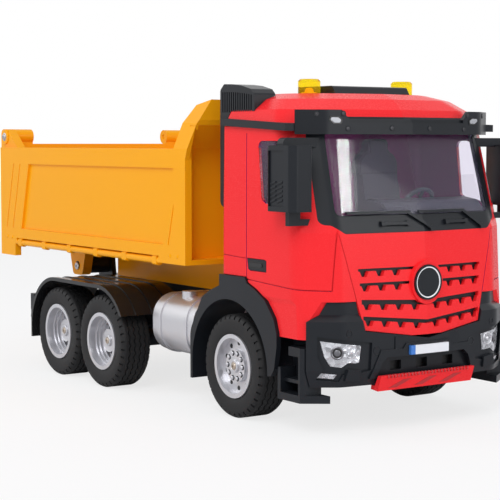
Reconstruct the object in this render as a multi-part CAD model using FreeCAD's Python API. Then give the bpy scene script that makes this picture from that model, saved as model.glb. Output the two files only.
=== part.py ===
# A toy three-axle dump truck, about 1:20, with a hinged load bed and a steered front axle.
# Millimetres. X runs forward, Y to the truck's left, Z up. The origin is on the floor, under
# the middle of the truck's own box.
import FreeCAD, Part
import math
import os

V = FreeCAD.Vector

# Running gear
wheelbase = 119.1            # front axle to the first rear axle
bogie = 53.3                 # between the two rear axles
front_overhang = 75.8        # front axle to the nose
plate_proud = 0.8            # the number plate, ahead of the nose
tyre_radius = 26.25
tyre_width = 18.5
rim_radius = 16.2            # over the rim's flange
front_tyre_face = 64.5       # outer face of the front tyres, from the middle plane
rear_tyre_face = 74.6
axle_radius = 2.5
bearing_gap = 0.05           # running clearance of wheels, pins and pivots
steer_angle = 18.0           # each way, degrees
kingpin_inset = 14.5         # kingpin inboard of the wheel's middle plane

# Cab
cab_back = 7.8               # the cab's rear wall, behind the front axle
cab_half_width = 65.5
cab_floor_z = 46.0
gutter_z = 147.0
roof_z = 162.6
cab_wall = 2.0
arch_wall = 2.0
glass = 1.2
bumper_bottom = 23.5
arch_radius = 34.0           # the front wheels' openings
arch_lip = 8.0

# Load bed
bed_half_width = 71.8
bed_tail = 83.3              # the bed's rear face, behind the rear axle
bed_front = 32.2             # the bed's front face, behind the front axle
bed_bottom = 75.0
bed_rail_top = 135.3
bed_wall = 2.6
bed_floor = 2.4
pivot_aft = 38.6             # the bed's pivot, behind the rear axle
pivot_z = 61.5
pivot_radius = 2.5

# Tailgate
hinge_z = 142.3
hinge_barrel = 4.65          # radius
hinge_pin = 1.5              # radius
hinge_aft = 0.8              # hinge line behind the bed's rear face
gate_gap = 0.5

# Small shared sizes
cut = 5.0                    # how far a cutting shape runs past what it cuts
seat_gap = 0.3

# Places that follow from the driving sizes
length = plate_proud + front_overhang + wheelbase + bogie + bed_tail + hinge_aft + hinge_barrel
nose_x = length / 2 - plate_proud
front_x = nose_x - front_overhang
middle_x = front_x - wheelbase
rear_x = middle_x - bogie
cab_x = front_x - cab_back
bed_front_x = front_x - bed_front
bed_tail_x = rear_x - bed_tail
hinge_x = bed_tail_x - hinge_aft
pivot_x = rear_x - pivot_aft
front_wheel_y = front_tyre_face - tyre_width / 2
rear_wheel_y = rear_tyre_face - tyre_width / 2
kingpin_y = front_wheel_y - kingpin_inset
axle_z = tyre_radius
floor_z = axle_z + arch_radius + arch_lip + seat_gap     # underside of the cab's floor

os.makedirs("parts", exist_ok=True)


def save(name, *shapes):
    """Write one node. Several solids of one node stay apart in a compound."""
    solids = [s for shape in shapes for s in shape.Solids]
    out = solids[0] if len(solids) == 1 else Part.makeCompound(solids)
    out.exportStep("parts/" + name + ".step")


def box(x0, x1, y0, y1, z0, z1):
    """A box between two corners, given in any order."""
    low = V(min(x0, x1), min(y0, y1), min(z0, z1))
    return Part.makeBox(abs(x1 - x0), abs(y1 - y0), abs(z1 - z0), low)


def cylinder(radius, start, end):
    """A round bar from one point to another."""
    run = end - start
    return Part.makeCylinder(radius, run.Length, start, run)


def mirrored(shape):
    """The same shape on the other side of the truck's middle plane."""
    return shape.mirror(V(0, 0, 0), V(0, 1, 0))


def pair(shape):
    """A right-hand shape and its left-hand twin."""
    return [shape, mirrored(shape)]


def rounded(points, radii):
    """A closed wire through points, each corner rounded by its own radius, or sharp at zero."""
    count = len(points)
    edges, ends = [], []
    for i in range(count):
        here, before, after = points[i], points[i - 1], points[(i + 1) % count]
        into, out = (here - before).normalize(), (after - here).normalize()
        turn = into.getAngle(out)
        if radii[i] <= 0 or turn < 1e-4:
            ends.append((here, here, None))
            continue
        back = radii[i] * math.tan(turn / 2)
        start, stop = here - into * back, here + out * back
        inward = (out - into).normalize()
        middle = here + inward * (radii[i] / math.cos(turn / 2) - radii[i])
        ends.append((start, stop, middle))
    for i in range(count):
        start, stop, middle = ends[i]
        if middle is not None:
            edges.append(Part.Arc(start, middle, stop).toShape())
        following = ends[(i + 1) % count][0]
        if (following - stop).Length > 1e-6:
            edges.append(Part.LineSegment(stop, following).toShape())
    return Part.Wire(edges)


def side_prism(points, y0, y1, radii=0):
    """A side-view outline of (x, z) points, run across the truck from y0 to y1."""
    radii = radii if isinstance(radii, list) else [radii] * len(points)
    wire = rounded([V(x, y0, z) for x, z in points], radii)
    return Part.Face(wire).extrude(V(0, y1 - y0, 0))


def front_prism(points, x0, x1, radii=0):
    """A front-view outline of (y, z) points, run along the truck from x0 to x1."""
    radii = radii if isinstance(radii, list) else [radii] * len(points)
    wire = rounded([V(x0, y, z) for y, z in points], radii)
    return Part.Face(wire).extrude(V(x1 - x0, 0, 0))


def plan_prism(points, z0, z1, radii=0):
    """A plan outline of (x, y) points, run upward from z0 to z1."""
    radii = radii if isinstance(radii, list) else [radii] * len(points)
    wire = rounded([V(x, y, z0) for x, y in points], radii)
    return Part.Face(wire).extrude(V(0, 0, z1 - z0))


def both_sides(half):
    """A symmetric (y, z) outline from its right half, which is listed from one end to the other."""
    return half + [(-y, z) for y, z in reversed(half)]


def spread(shares, y0, y1, z0, z1):
    """Outline points given as shares of a rectangle."""
    return [(y0 + a * (y1 - y0), z0 + b * (z1 - z0)) for a, b in shares]


def strip(points, width, y0, y1):
    """A side-view line of (x, z) points, given a width and run across the truck."""
    bars = []
    for (xa, za), (xb, zb) in zip(points, points[1:]):
        reach = math.hypot(xb - xa, zb - za)
        nx, nz = -(zb - za) / reach * width / 2, (xb - xa) / reach * width / 2
        corners = [(xa + nx, za + nz), (xb + nx, zb + nz), (xb - nx, zb - nz), (xa - nx, za - nz)]
        bars.append(side_prism(corners, y0, y1))
    return bars


def front_strip(points, width, x0, x1):
    """A front-view line of (y, z) points, given a width and run along the truck."""
    bars = []
    for (ya, za), (yb, zb) in zip(points, points[1:]):
        reach = math.hypot(yb - ya, zb - za)
        ny, nz = -(zb - za) / reach * width / 2, (yb - ya) / reach * width / 2
        corners = [(ya + ny, za + nz), (yb + ny, zb + nz), (yb - ny, zb - nz), (ya - ny, za - nz)]
        bars.append(front_prism(corners, x0, x1))
    return bars


def turned(profile, x, y, z, side):
    """Lines between (outward distance, radius) points, turned about a wheel's axis."""
    edges = [Part.LineSegment(*[V(0, -d, r) for d, r in item]).toShape() for item in profile]
    solid = Part.Face(Part.Wire(edges)).revolve(V(0, 0, 0), V(0, 1, 0), 360)
    if side > 0:
        solid = mirrored(solid)
    solid.translate(V(x, y, z))
    return solid


def chain(points):
    """Straight profile pieces through a closed list of (distance, radius) points."""
    return [(points[i], points[(i + 1) % len(points)]) for i in range(len(points))]


# Wheels. Distances are outward from the tyre's middle plane.
bead_radius = 15.0
bead_inset = 1.1             # the tyre's side at the rim, inside its widest
sidewall_radius = 22.6       # where the tyre is widest and the shoulder starts
shoulder_width = 2.4
rim_wall = 0.9
hub_bore = axle_radius + bearing_gap


def tyre(x, y, side):
    """A tyre with plain sides, sloped shoulders and a flat tread."""
    half = tyre_width / 2
    outer = [(half - bead_inset, bead_radius), (half - bead_inset, rim_radius), (half, sidewall_radius),
             (half - shoulder_width, tyre_radius)]
    inner = [(-d, r) for d, r in reversed(outer)]
    return turned(chain(outer + inner), x, y, axle_z, side)


# Rims. Depths are inward from the rim's outer face.
rim_face = tyre_width / 2 - bead_inset + rim_wall
front_disc_depth = 4.2
front_disc = 1.6
front_hub_radius = 8.4
front_hub_depth = 1.9
hub_cap_radius = 3.4
hub_cap_rise = 0.6
hand_hole_radius = 0.85
hand_hole_ring = 11.2
hand_holes = 10
nut_ring = 6.6
nut_radius = 0.75
nut_height = 0.7
rear_step_depths = [4.6, 6.4, 8.2]
rear_step_inset = 0.9
rear_disc_depth = 10.2
rear_disc = 1.8
rear_hub_radius = 6.6
rear_hub_depth = 5.2
rear_holes = 4
rear_hole_ring = 9.6
rear_hole_radius = 1.7


def rim(x, y, side, rear):
    """One rim: a barrel with two flanges, a disc and a bored hub, open behind the disc."""
    face, back = rim_face, -(tyre_width / 2 - bead_inset)
    barrel = bead_radius - rim_wall
    lip_back = back - rim_wall
    if rear:
        steps, radius, depth = [], barrel, 0
        for step in rear_step_depths:
            steps += [(face - step, radius), (face - step, radius - rear_step_inset)]
            radius -= rear_step_inset
        disc, hub, hub_r = rear_disc_depth, rear_hub_depth, rear_hub_radius
        thick = rear_disc
    else:
        steps = []
        disc, hub, hub_r = front_disc_depth, front_hub_depth, front_hub_radius
        thick = front_disc
        radius = barrel
    disc_back = face - disc - thick
    front_side = [(face, rim_radius), (face, barrel)] + steps
    front_side += [(face - disc, radius), (face - disc, hub_r), (face - hub, hub_r)]
    cap = face - hub + hub_cap_rise
    front_side += [(face - hub, hub_cap_radius), (cap, hub_cap_radius), (cap, 0)]
    bore_end = face - hub - hub_cap_rise
    back_side = [(bore_end, 0), (bore_end, hub_bore), (lip_back, hub_bore)]
    back_side += [(lip_back, hub_bore + rim_wall * 2), (disc_back, hub_bore + rim_wall * 2)]
    inside = barrel if not rear else radius
    back_side += [(disc_back, inside), (face - disc - thick * 2, barrel), (lip_back, barrel)]
    back_side += [(lip_back, rim_radius), (back, rim_radius), (back, bead_radius)]
    back_side += [(face - rim_wall, bead_radius), (face - rim_wall, rim_radius)]
    solid = turned(chain(front_side + back_side), x, y, axle_z, side)
    count = rear_holes if rear else hand_holes
    ring = rear_hole_ring if rear else hand_hole_ring
    radius = rear_hole_radius if rear else hand_hole_radius
    for i in range(count):
        angle = 2 * math.pi * (i + 0.5) / count
        centre = V(x + ring * math.cos(angle), 0, axle_z + ring * math.sin(angle))
        outside = V(centre.x, y + side * (face - disc + cut / 2), centre.z)
        inside_end = V(centre.x, y + side * (disc_back - cut / 2), centre.z)
        solid = solid.cut(cylinder(radius, outside, inside_end))
    if rear:
        return solid
    for i in range(hand_holes):
        angle = 2 * math.pi * i / hand_holes
        seat = V(x + nut_ring * math.cos(angle), y + side * (face - hub - nut_height),
                 axle_z + nut_ring * math.sin(angle))
        top = seat + V(0, side * nut_height * 2, 0)
        solid = solid.fuse(cylinder(nut_radius, seat, top))
    return solid.removeSplitter()


def wheels():
    places = [("front", front_x, front_wheel_y, False), ("middle", middle_x, rear_wheel_y, True),
              ("rear", rear_x, rear_wheel_y, True)]
    for name, x, y, rear in places:
        for hand, side in (("right", -1), ("left", 1)):
            save("tyre_" + name + "_" + hand, tyre(x, side * y, side))
            save("rim_" + name + "_" + hand, rim(x, side * y, side, rear))


# Chassis: two channel rails joined by cross members
rail_half = 20.0             # outer faces of the rails
rail_web = 3.0
rail_flange = 9.0
rail_bottom = 36.0
rail_top = 55.0
rail_tail = 10.0             # past the bed's pivot
rail_nose = 17.0             # short of the nose
cross_width = 8.0
cross_shares = [0.02, 0.27, 0.42, 0.62, 0.8, 0.985]
screw_shares = [0.42, 0.62]  # cross members with a transport screw hole
screw_radius = 1.6
lug_width = 6.0
bracket_half = 34.0          # outer faces of the pivot arms
post_run = 30.0              # cab posts, behind and ahead of the front axle


def rail(side):
    x0, x1 = pivot_x - rail_tail, nose_x - rail_nose
    outer = box(x0, x1, side * rail_half, side * (rail_half - rail_flange), rail_bottom, rail_top)
    hollow = box(x0 - cut, x1 + cut, side * (rail_half - rail_web),
                 side * (rail_half - rail_flange - cut), rail_bottom + rail_web, rail_top - rail_web)
    return outer.cut(hollow)


def pivot_arm(side):
    """A bracket out from the rail that carries one end of the bed's pivot pin."""
    outline = [(pivot_x - rail_tail, rail_bottom + rail_web), (pivot_x + rail_tail, rail_bottom + rail_web),
               (pivot_x + lug_width, pivot_z + lug_width), (pivot_x - lug_width, pivot_z + lug_width)]
    plate = side_prism(outline, side * (rail_half - rail_web), side * rail_half, [0, 0, rail_web, rail_web])
    boss = cylinder(pivot_radius + rail_web, V(pivot_x, side * (rail_half - rail_web), pivot_z),
                    V(pivot_x, side * bracket_half, pivot_z))
    pin = cylinder(pivot_radius, V(pivot_x, side * (rail_half - rail_web), pivot_z),
                   V(pivot_x, side * (bed_lug_y + lug_width + seat_gap), pivot_z))
    return plate.fuse([boss, pin])


bed_lug_y = bracket_half + gate_gap


def chassis_frame():
    solid = rail(-1).fuse(rail(1))
    x0, x1 = pivot_x - rail_tail, nose_x - rail_nose - cross_width
    for share in cross_shares:
        x = x0 + (x1 - x0) * share
        member = box(x, x + cross_width, -rail_half + rail_web, rail_half - rail_web,
                     rail_bottom, rail_bottom + rail_web)
        if share in screw_shares:
            centre = V(x + cross_width / 2, 0, rail_bottom - cut)
            member = member.cut(cylinder(screw_radius, centre, centre + V(0, 0, rail_web + cut * 2)))
        solid = solid.fuse(member)
    for x in (cab_x + cross_width, front_x + post_run):
        for side in (-1, 1):
            solid = solid.fuse(box(x, x + cross_width, side * (rail_half - rail_flange), side * rail_half,
                                   rail_top - rail_web, floor_z))
    solid = solid.fuse([pivot_arm(-1), pivot_arm(1)])
    return solid.removeSplitter()


motor_length = 74.0
motor_height = 15.0
motor_side_gap = 1.0


def motor_block():
    """Battery and gear motor, one plain block between the rails."""
    half = rail_half - rail_flange - motor_side_gap
    x0 = middle_x + tyre_radius
    bottom = rail_bottom + rail_web
    return box(x0, x0 + motor_length, -half, half, bottom, bottom + motor_height)


# Rear axles: a round housing with a gear bulge, and springs from the rails
housing_radius = 5.0
housing_half = 50.0
bulge_radius = 12.0
bulge_half = 10.0
brake_radius = 11.0
brake_width = 3.0
spring_y = 26.5
spring_width = 7.0
spring_leaf = 2.0
spring_leaves = 3
trunnion_radius = 4.0


def rear_axle(x):
    centre = V(x, 0, axle_z)
    tube = cylinder(housing_radius, centre - V(0, housing_half, 0), centre + V(0, housing_half, 0))
    stub_end = rear_wheel_y + rim_face - rear_hub_depth - hub_cap_rise - bearing_gap
    stub = cylinder(axle_radius, centre - V(0, stub_end, 0), centre + V(0, stub_end, 0))
    bulge = cylinder(bulge_radius, centre - V(0, bulge_half, 0), centre + V(0, bulge_half, 0))
    bulge = bulge.makeChamfer(bulge_half / 2, [e for e in bulge.Edges if e.Closed and e.Length > bulge_radius])
    drums = [cylinder(brake_radius, centre + V(0, s * housing_half, 0),
                      centre + V(0, s * (housing_half + brake_width), 0)) for s in (-1, 1)]
    return tube.fuse([stub, bulge] + drums).removeSplitter()


def bogie_springs():
    """A leaf pack on each side that sits on both axles and hangs from the rail's trunnion."""
    middle = (middle_x + rear_x) / 2
    seat = axle_z + housing_radius
    packs = []
    for side in (-1, 1):
        y0, y1 = side * (spring_y - spring_width / 2), side * (spring_y + spring_width / 2)
        pack = None
        for i in range(spring_leaves):
            reach = bogie / 2 + housing_radius - i * spring_leaf * 4
            z = seat + i * spring_leaf
            leaf = box(middle - reach, middle + reach, y0, y1, z, z + spring_leaf)
            pack = leaf if pack is None else pack.fuse(leaf)
        top = seat + spring_leaves * spring_leaf
        carrier = box(middle - trunnion_radius * 2, middle + trunnion_radius * 2, y0, y1,
                      top - spring_leaf / 2, rail_top - rail_web)
        hanger = box(middle - trunnion_radius, middle + trunnion_radius, side * rail_half, y0,
                     top, rail_top - rail_web)
        packs.append(pack.fuse([carrier, hanger]).removeSplitter())
    return packs


shaft_radius = 1.8
shaft_reach = 22.0           # where the shaft meets the motor block, ahead of its rear face


def propshaft():
    """One shaft from the motor to the first axle, and one between the two axles."""
    motor = motor_block()
    into = V(motor.BoundBox.XMin + shaft_reach, 0, motor.BoundBox.ZMin + shaft_radius * 2)
    front = cylinder(shaft_radius, V(middle_x, 0, axle_z), into).cut([motor, rear_axle(middle_x)])
    between = cylinder(shaft_radius, V(rear_x, 0, axle_z), V(middle_x, 0, axle_z))
    return front, between.cut([rear_axle(rear_x), rear_axle(middle_x)])


# Front axle and steering
beam_height = 7.0
beam_width = 9.0
beam_half = 35.0
yoke_height = 16.0
yoke_plate = 3.0
kingpin_radius = 1.8
knuckle_radius = 5.0
yoke_gap = 0.3
yoke_reach = 3.5             # the yoke's plates past the kingpin
arm_length = 13.0
arm_width = 4.4
arm_height = 2.4
rack_pin_radius = 1.2
rack_width = 7.0
rack_height = 2.4
slot_gap = 0.25


def front_axle():
    """A beam under the rails with a yoke at each end that holds the kingpin."""
    z0 = axle_z - beam_height / 2
    beam = box(front_x - beam_width / 2, front_x + beam_width / 2, -beam_half, beam_half,
               z0, z0 + beam_height)
    solid = beam
    for side in (-1, 1):
        y_in, y_out = side * (beam_half - yoke_plate), side * (kingpin_y + yoke_reach)
        low, high = axle_z - yoke_height / 2, axle_z + yoke_height / 2
        web = box(front_x - beam_width / 2, front_x + beam_width / 2, y_in,
                  side * (kingpin_y - knuckle_radius - yoke_gap), low, high)
        plates = [box(front_x - beam_width / 2, front_x + beam_width / 2, y_in, y_out, z, z + yoke_plate)
                  for z in (low - yoke_plate, high)]
        pin = cylinder(kingpin_radius, V(front_x, side * kingpin_y, low - yoke_plate / 2),
                       V(front_x, side * kingpin_y, high + yoke_plate / 2))
        solid = solid.fuse([web, pin] + plates)
    for side in (-1, 1):
        hanger = box(front_x - beam_width / 2, front_x + beam_width / 2,
                     side * (rail_half - rail_flange), side * rail_half, z0, rail_bottom)
        solid = solid.fuse(hanger)
    return solid.removeSplitter()


def knuckle(side):
    """A bored hub on the kingpin with the wheel's stub axle and a steering arm behind it."""
    low, high = axle_z - yoke_height / 2 + yoke_gap, axle_z + yoke_height / 2 - yoke_gap
    y = side * kingpin_y
    hub = cylinder(knuckle_radius, V(front_x, y, low), V(front_x, y, high))
    stub_end = front_wheel_y + rim_face - front_hub_depth - hub_cap_rise - bearing_gap
    collar_end = front_wheel_y - tyre_width / 2 + bead_inset - rim_wall - bearing_gap
    collar = cylinder(knuckle_radius, V(front_x, y, axle_z), V(front_x, side * collar_end, axle_z))
    stub = cylinder(axle_radius, V(front_x, y, axle_z), V(front_x, side * stub_end, axle_z))
    arm = box(front_x - arm_length - arm_width / 2, front_x, y - arm_width / 2, y + arm_width / 2,
              low, low + arm_height)
    pin = cylinder(rack_pin_radius, V(front_x - arm_length, y, low - rack_height - yoke_gap * 2),
                   V(front_x - arm_length, y, low + arm_height / 2))
    bore = cylinder(kingpin_radius + bearing_gap, V(front_x, y, low - cut), V(front_x, y, high + cut))
    return hub.fuse([collar, stub, arm, pin]).cut(bore).removeSplitter()


def steering_rack():
    """A flat bar that slides across the truck, slotted at each end for the steering arms' pins."""
    low = axle_z - yoke_height / 2 + yoke_gap
    z1 = low - yoke_gap
    z0 = z1 - rack_height
    x0, x1 = front_x - arm_length - rack_width / 2, front_x - arm_length + rack_width / 2
    reach = kingpin_y + rack_pin_radius * 2 + slot_gap
    bar = box(x0, x1, -reach, reach, z0, z1)
    swing = arm_length * (1 - math.cos(math.radians(steer_angle)))
    for side in (-1, 1):
        half = rack_pin_radius + slot_gap
        slot = box(front_x - arm_length - half, front_x - arm_length + half + swing,
                   side * kingpin_y - half, side * kingpin_y + half, z0 - cut, z1 + cut)
        bar = bar.cut(slot)
    return bar


# Fuel tanks, one on each side
tank_length = 41.0
tank_front = 36.5            # the tank's front end, behind the front axle
tank_bottom = 24.8
tank_top = 56.5
tank_inner = 30.0
tank_outer = 64.5
tank_corner = 13.0
strap_width = 3.0
strap_rise = 0.5
strap_shares = [0.14, 0.78]
cap_radius = 4.2
cap_height = 2.4


def tank_section(rise, x0, x1):
    y0, y1 = tank_inner - rise, tank_outer + rise
    z0, z1 = tank_bottom - rise, tank_top + rise
    points = [(-y1, z0), (-y0, z0), (-y0, z1), (-y1, z1)]
    return front_prism(points, x0, x1, [tank_corner, strap_width, strap_width, tank_corner])


def fuel_tank():
    x1 = front_x - tank_front
    x0 = x1 - tank_length
    solid = tank_section(0, x0, x1)
    for share in strap_shares:
        x = x0 + share * tank_length
        solid = solid.fuse(tank_section(strap_rise, x, x + strap_width))
    cap_y = -(tank_outer - tank_corner + cap_radius / 2)
    cap_x = (x0 + x1) / 2
    solid = solid.fuse(cylinder(cap_radius, V(cap_x, cap_y, tank_top - cap_height),
                                V(cap_x, cap_y, tank_top + cap_height)))
    arms = [box(x, x + strap_width, -tank_inner, -rail_half, tank_top - strap_width * 3,
                tank_top - strap_width * 2) for x in (x0 + strap_width, x1 - strap_width * 2)]
    return solid.fuse(arms).removeSplitter()


# Rear mudguards, one over both wheels of a side
guard_gap = 4.0              # over the tyre
guard_wall = 1.6
guard_outer = 76.6
guard_inner = 36.0
guard_low_z = 43.0           # foot of its front end
guard_tail_z = 32.0          # foot of its rear end, where the flap starts
guard_drop_z = 20.0
flap_wall = 1.6
guard_lip = 3.2              # width of the raised outer lip
ridge_width = 0.9
ridge_rise = 0.5
ridge_shares = [0.24, 0.5, 0.78]


def guard_outline(radius, outer=guard_outer, inner=guard_inner):
    """Half discs about both axles joined by a flat top, between two distances from the middle plane."""
    half = [cylinder(radius, V(x, -outer, axle_z), V(x, -inner, axle_z)) for x in (middle_x, rear_x)]
    top = box(rear_x, middle_x, -outer, -inner, axle_z, axle_z + radius)
    return half[0].fuse([half[1], top]).removeSplitter()


def rear_mudguard():
    inner = tyre_radius + guard_gap
    shell = guard_outline(inner + guard_wall)
    ridges = [guard_outline(inner + guard_wall + ridge_rise, guard_outer, guard_outer - guard_lip)]
    for share in ridge_shares:
        y = guard_outer - share * (guard_outer - guard_inner)
        ridges.append(guard_outline(inner + guard_wall + ridge_rise, y, y - ridge_width))
    shell = shell.fuse(ridges).cut(guard_outline(inner, guard_outer + cut, guard_inner - cut))
    y0, y1 = -guard_outer - cut, -guard_inner + cut
    front_below = box(rear_x, middle_x + inner + cut, y0, y1, -inner, guard_low_z)
    rear_below = box(rear_x - inner - cut, rear_x, y0, y1, -inner, guard_tail_z)
    shell = shell.cut([front_below, rear_below])
    reach = math.sqrt((inner + guard_wall) ** 2 - (guard_tail_z - axle_z) ** 2)
    flap = box(rear_x - reach, rear_x - reach + flap_wall, -guard_outer, -guard_inner,
               guard_drop_z, guard_tail_z + guard_wall * 3)
    flap = flap.cut(guard_outline(inner))
    arm_z = axle_z + inner + guard_wall
    arms = [box(x - guard_wall, x + guard_wall, -guard_inner, -rail_half, rail_top - rail_web * 2,
                rail_top - rail_web) for x in (middle_x, rear_x)]
    legs = [box(x - guard_wall, x + guard_wall, -guard_inner - guard_wall, -guard_inner,
                rail_top - rail_web * 2, arm_z - guard_wall / 2) for x in (middle_x, rear_x)]
    return shell.fuse([flap] + arms + legs).removeSplitter()


# Rear cross bar with the tail lamps
bar_z = 34.0
bar_height = 10.0
bar_depth = 5.0
bar_half = 66.0
lamp_width = 16.0
lamp_height = 6.0
lamp_depth = 1.2


def rear_bar():
    x1 = pivot_x - rail_tail
    bar = box(x1 - bar_depth, x1, -bar_half, bar_half, bar_z, bar_z + bar_height)
    for side in (-1, 1):
        pocket = box(x1 - bar_depth - cut, x1 - bar_depth + lamp_depth,
                     side * (bar_half - lamp_height), side * (bar_half - lamp_height - lamp_width),
                     bar_z + (bar_height - lamp_height) / 2, bar_z + (bar_height + lamp_height) / 2)
        bar = bar.cut(pocket)
    return bar


def tail_lamps():
    x1 = pivot_x - rail_tail - bar_depth
    return [box(x1 - lamp_depth / 2, x1 + lamp_depth, side * (bar_half - lamp_height),
                side * (bar_half - lamp_height - lamp_width), bar_z + (bar_height - lamp_height) / 2,
                bar_z + (bar_height + lamp_height) / 2) for side in (-1, 1)]


# Cab shell: plan sections from the sill to the roof, blended
cab_section_z_shares = [0.0, 0.43, 0.86, 0.93, 0.975, 1.0]   # of the height from sill to roof
nose_back = [0.8, 4.0, 18.5, 22.5, 28.5, 36.0]               # front of each section, behind the nose
side_back = [0.0, 0.0, 0.6, 4.5, 11.5, 21.0]                 # side of each section, inside the cab's
rear_back = [0.0, 0.0, 0.0, 0.6, 2.2, 5.0]                   # rear of each section, ahead of the cab's
corner_run = 5.0             # how far the nose falls back at its corners
corner_side = 17.0           # width of the corner facets
corner_radius = 11.0
rear_radius = 3.0


def cab_section(index, inset, ahead):
    z = cab_floor_z + (roof_z - cab_floor_z) * cab_section_z_shares[index]
    if index == len(nose_back) - 1:
        z -= inset
    if index == 0:
        z -= 0 if inset == 0 else cut
    x1 = nose_x - nose_back[index] - inset + ahead
    x0 = cab_x + rear_back[index] + inset
    y1 = cab_half_width - side_back[index] - inset
    y_front = y1 - corner_side
    half = [(x1, 0), (x1 - corner_run, -y_front), (x1 - corner_side, -y1), (x0, -y1)]
    points = half + [(x, -y) for x, y in reversed(half[1:])]
    radii = [0, corner_radius, corner_radius, rear_radius]
    radii += list(reversed(radii[1:]))
    return rounded([V(x, y, z) for x, y in points], radii)


def cab_hull(inset, ahead=0):
    """The cab's outer form moved inward by inset and forward by ahead."""
    wires = [cab_section(i, inset, ahead) for i in range(len(nose_back))]
    return Part.makeLoft(wires, True, True)


# Outlines on the cab's side are (ahead of the front axle, height)
door_window = [(24.0, 139.3), (27.3, 111.0), (31.0, 109.2), (62.0, 106.8), (62.0, 126.0), (57.5, 139.3)]
door_window_radii = [3.0, 2.0, 2.0, 2.0, 3.0, 5.0]
door_seam = [(14.2, 143.0), (14.9, 71.6), (66.0, 69.0), (66.0, 104.0)]
rear_seam = [(-12.8, 82.9), (14.2, 81.8)]
seam_width = 0.5
seam_depth = 0.6
crease_top = 64.4            # the lower side steps inward under this line
crease_low = 62.0
crease_depth = 0.7
crease_start = 28.0
pillar_side = 6.5            # how far the side windows stop short of the cab's corner
screen_low_inset = 16.9      # half widths of the windscreen, inside the cab's own
screen_high_inset = 18.3
screen_low_z = 104.0
screen_high_z = 143.5
screen_radius = 3.0
frame_margin = 7.4
cowl_z = 95.6                # lower edge of the black surround in the middle, and at its ends
cowl_end_z = 99.6
cowl_inset = 20.3
cowl_end_inset = 14.5
grille_top_inset = 17.2
grille_low_inset = 29.3
grille_low_z = 49.9
grille_tip_z = 44.6
screen_low_half = cab_half_width - screen_low_inset
screen_high_half = cab_half_width - screen_high_inset
grille_top_half = cab_half_width - grille_top_inset
grille_low_half = cab_half_width - grille_low_inset


def window_cut(side):
    points = [(front_x + x, z) for x, z in door_window]
    return side_prism(points, side * (cab_half_width - pillar_side), side * (cab_half_width + cut),
                      door_window_radii)


def screen_cut():
    half = [(-screen_low_half, screen_low_z), (-screen_high_half, screen_high_z)]
    return front_prism(both_sides(half), nose_x - corner_side * 2, nose_x + cut, screen_radius)


def surround_cut():
    """Outline of the windscreen's black surround, stepped up at the cowl's ends."""
    half = [(-cab_half_width + cowl_inset, cowl_z), (-cab_half_width + cowl_end_inset, cowl_end_z),
            (-screen_low_half - frame_margin, cowl_end_z + seam_width),
            (-screen_high_half - frame_margin, screen_high_z + frame_margin)]
    radii = [screen_radius, screen_radius, screen_radius, screen_radius + frame_margin]
    return front_prism(both_sides(half), nose_x - corner_side * 2, nose_x + cut, radii + radii[::-1])


def grille_outline(margin):
    half = [(-grille_low_half - margin, grille_low_z - margin), (-grille_top_half - margin, cowl_z)]
    return both_sides(half) + [(0, grille_tip_z - margin)]


def arch_cut(radius, y0, y1):
    """The wheel's opening: a half disc above the axle, straight down below it."""
    out = []
    for side in (-1, 1):
        disc = cylinder(radius, V(front_x, side * y0, axle_z), V(front_x, side * y1, axle_z))
        legs = box(front_x - radius, front_x + radius, side * y0, side * y1, -cut, axle_z)
        out.append(disc.fuse(legs))
    return out


def skin(proud, depth):
    """The layer of the cab's form from one height over its surface to one depth under it."""
    return cab_hull(-proud).cut(cab_hull(depth))


def cab_shell():
    """The red moulding: roof, doors, sides and corners, with its openings and seams cut."""
    shell = cab_hull(0).cut(cab_hull(cab_wall))
    front_panel = front_prism(grille_outline(seat_gap), nose_x - corner_side, nose_x + cut)
    bumper_room = bumper_space(0, nose_x + cut, cab_half_width + cut)
    below_rear = box(cab_x - cut, front_x, -cab_half_width - cut, cab_half_width + cut, -cut, floor_z)
    lip = arch_lip_prism(seat_gap)
    wheel = cylinder(arch_radius + arch_wall + seat_gap, V(front_x, -cab_half_width - cut, axle_z),
                     V(front_x, -cab_half_width / 2, axle_z))
    shell = shell.cut([window_cut(-1), window_cut(1), surround_cut(), front_panel, bumper_room, below_rear])
    shell = shell.cut(pair(lip) + pair(wheel))
    seams = []
    for line in (door_seam, rear_seam):
        seams += strip([(front_x + x, z) for x, z in line], seam_width, -cab_half_width - cut,
                       -cab_half_width + corner_side)
    grooves = seams[0].fuse(seams[1:]).common(skin(cut, seam_depth))
    step = [(-cab_half_width - cut, crease_top), (-cab_half_width, crease_top),
            (-cab_half_width + crease_depth, crease_low), (-cab_half_width + crease_depth, -cut),
            (-cab_half_width - cut, -cut)]
    crease = front_prism(step, front_x + crease_start, nose_x)
    recess = handle_prism(seat_gap).common(skin(cut, handle_depth))
    return shell.cut(pair(grooves) + pair(crease) + pair(recess))


handle_start = 15.6          # ahead of the front axle
handle_length = 15.8
handle_z = 76.2
handle_height = 5.6
handle_depth = 1.2
handle_shares = [(0.0, 1.0), (0.06, 0.12), (0.16, 0.0), (1.0, 0.0), (1.0, 0.9), (0.9, 1.0)]


def handle_prism(margin):
    x0 = front_x + handle_start
    points = spread(handle_shares, x0 - margin, x0 + handle_length + margin, handle_z - margin,
                    handle_z + handle_height + margin)
    return side_prism(points, -cab_half_width - cut, -cab_half_width + corner_side)


def door_handle():
    """A dark handle in a recess of the door, with a finger hollow under its bar."""
    body = handle_prism(0).common(skin(0, handle_depth))
    x0 = front_x + handle_start
    hollow = box(x0 + handle_height / 2, x0 + handle_length - handle_height / 2, -cab_half_width - cut,
                 -cab_half_width + handle_depth / 2, handle_z + handle_depth, handle_z + handle_height / 2)
    return body.cut(hollow)


def cab_ring(outer, inner):
    return cab_hull(outer).cut(cab_hull(inner))


def screen_frame():
    """The black surround of the windscreen: pillars and cowl."""
    return cab_ring(0, cab_wall).common(surround_cut()).cut(screen_cut())


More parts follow.
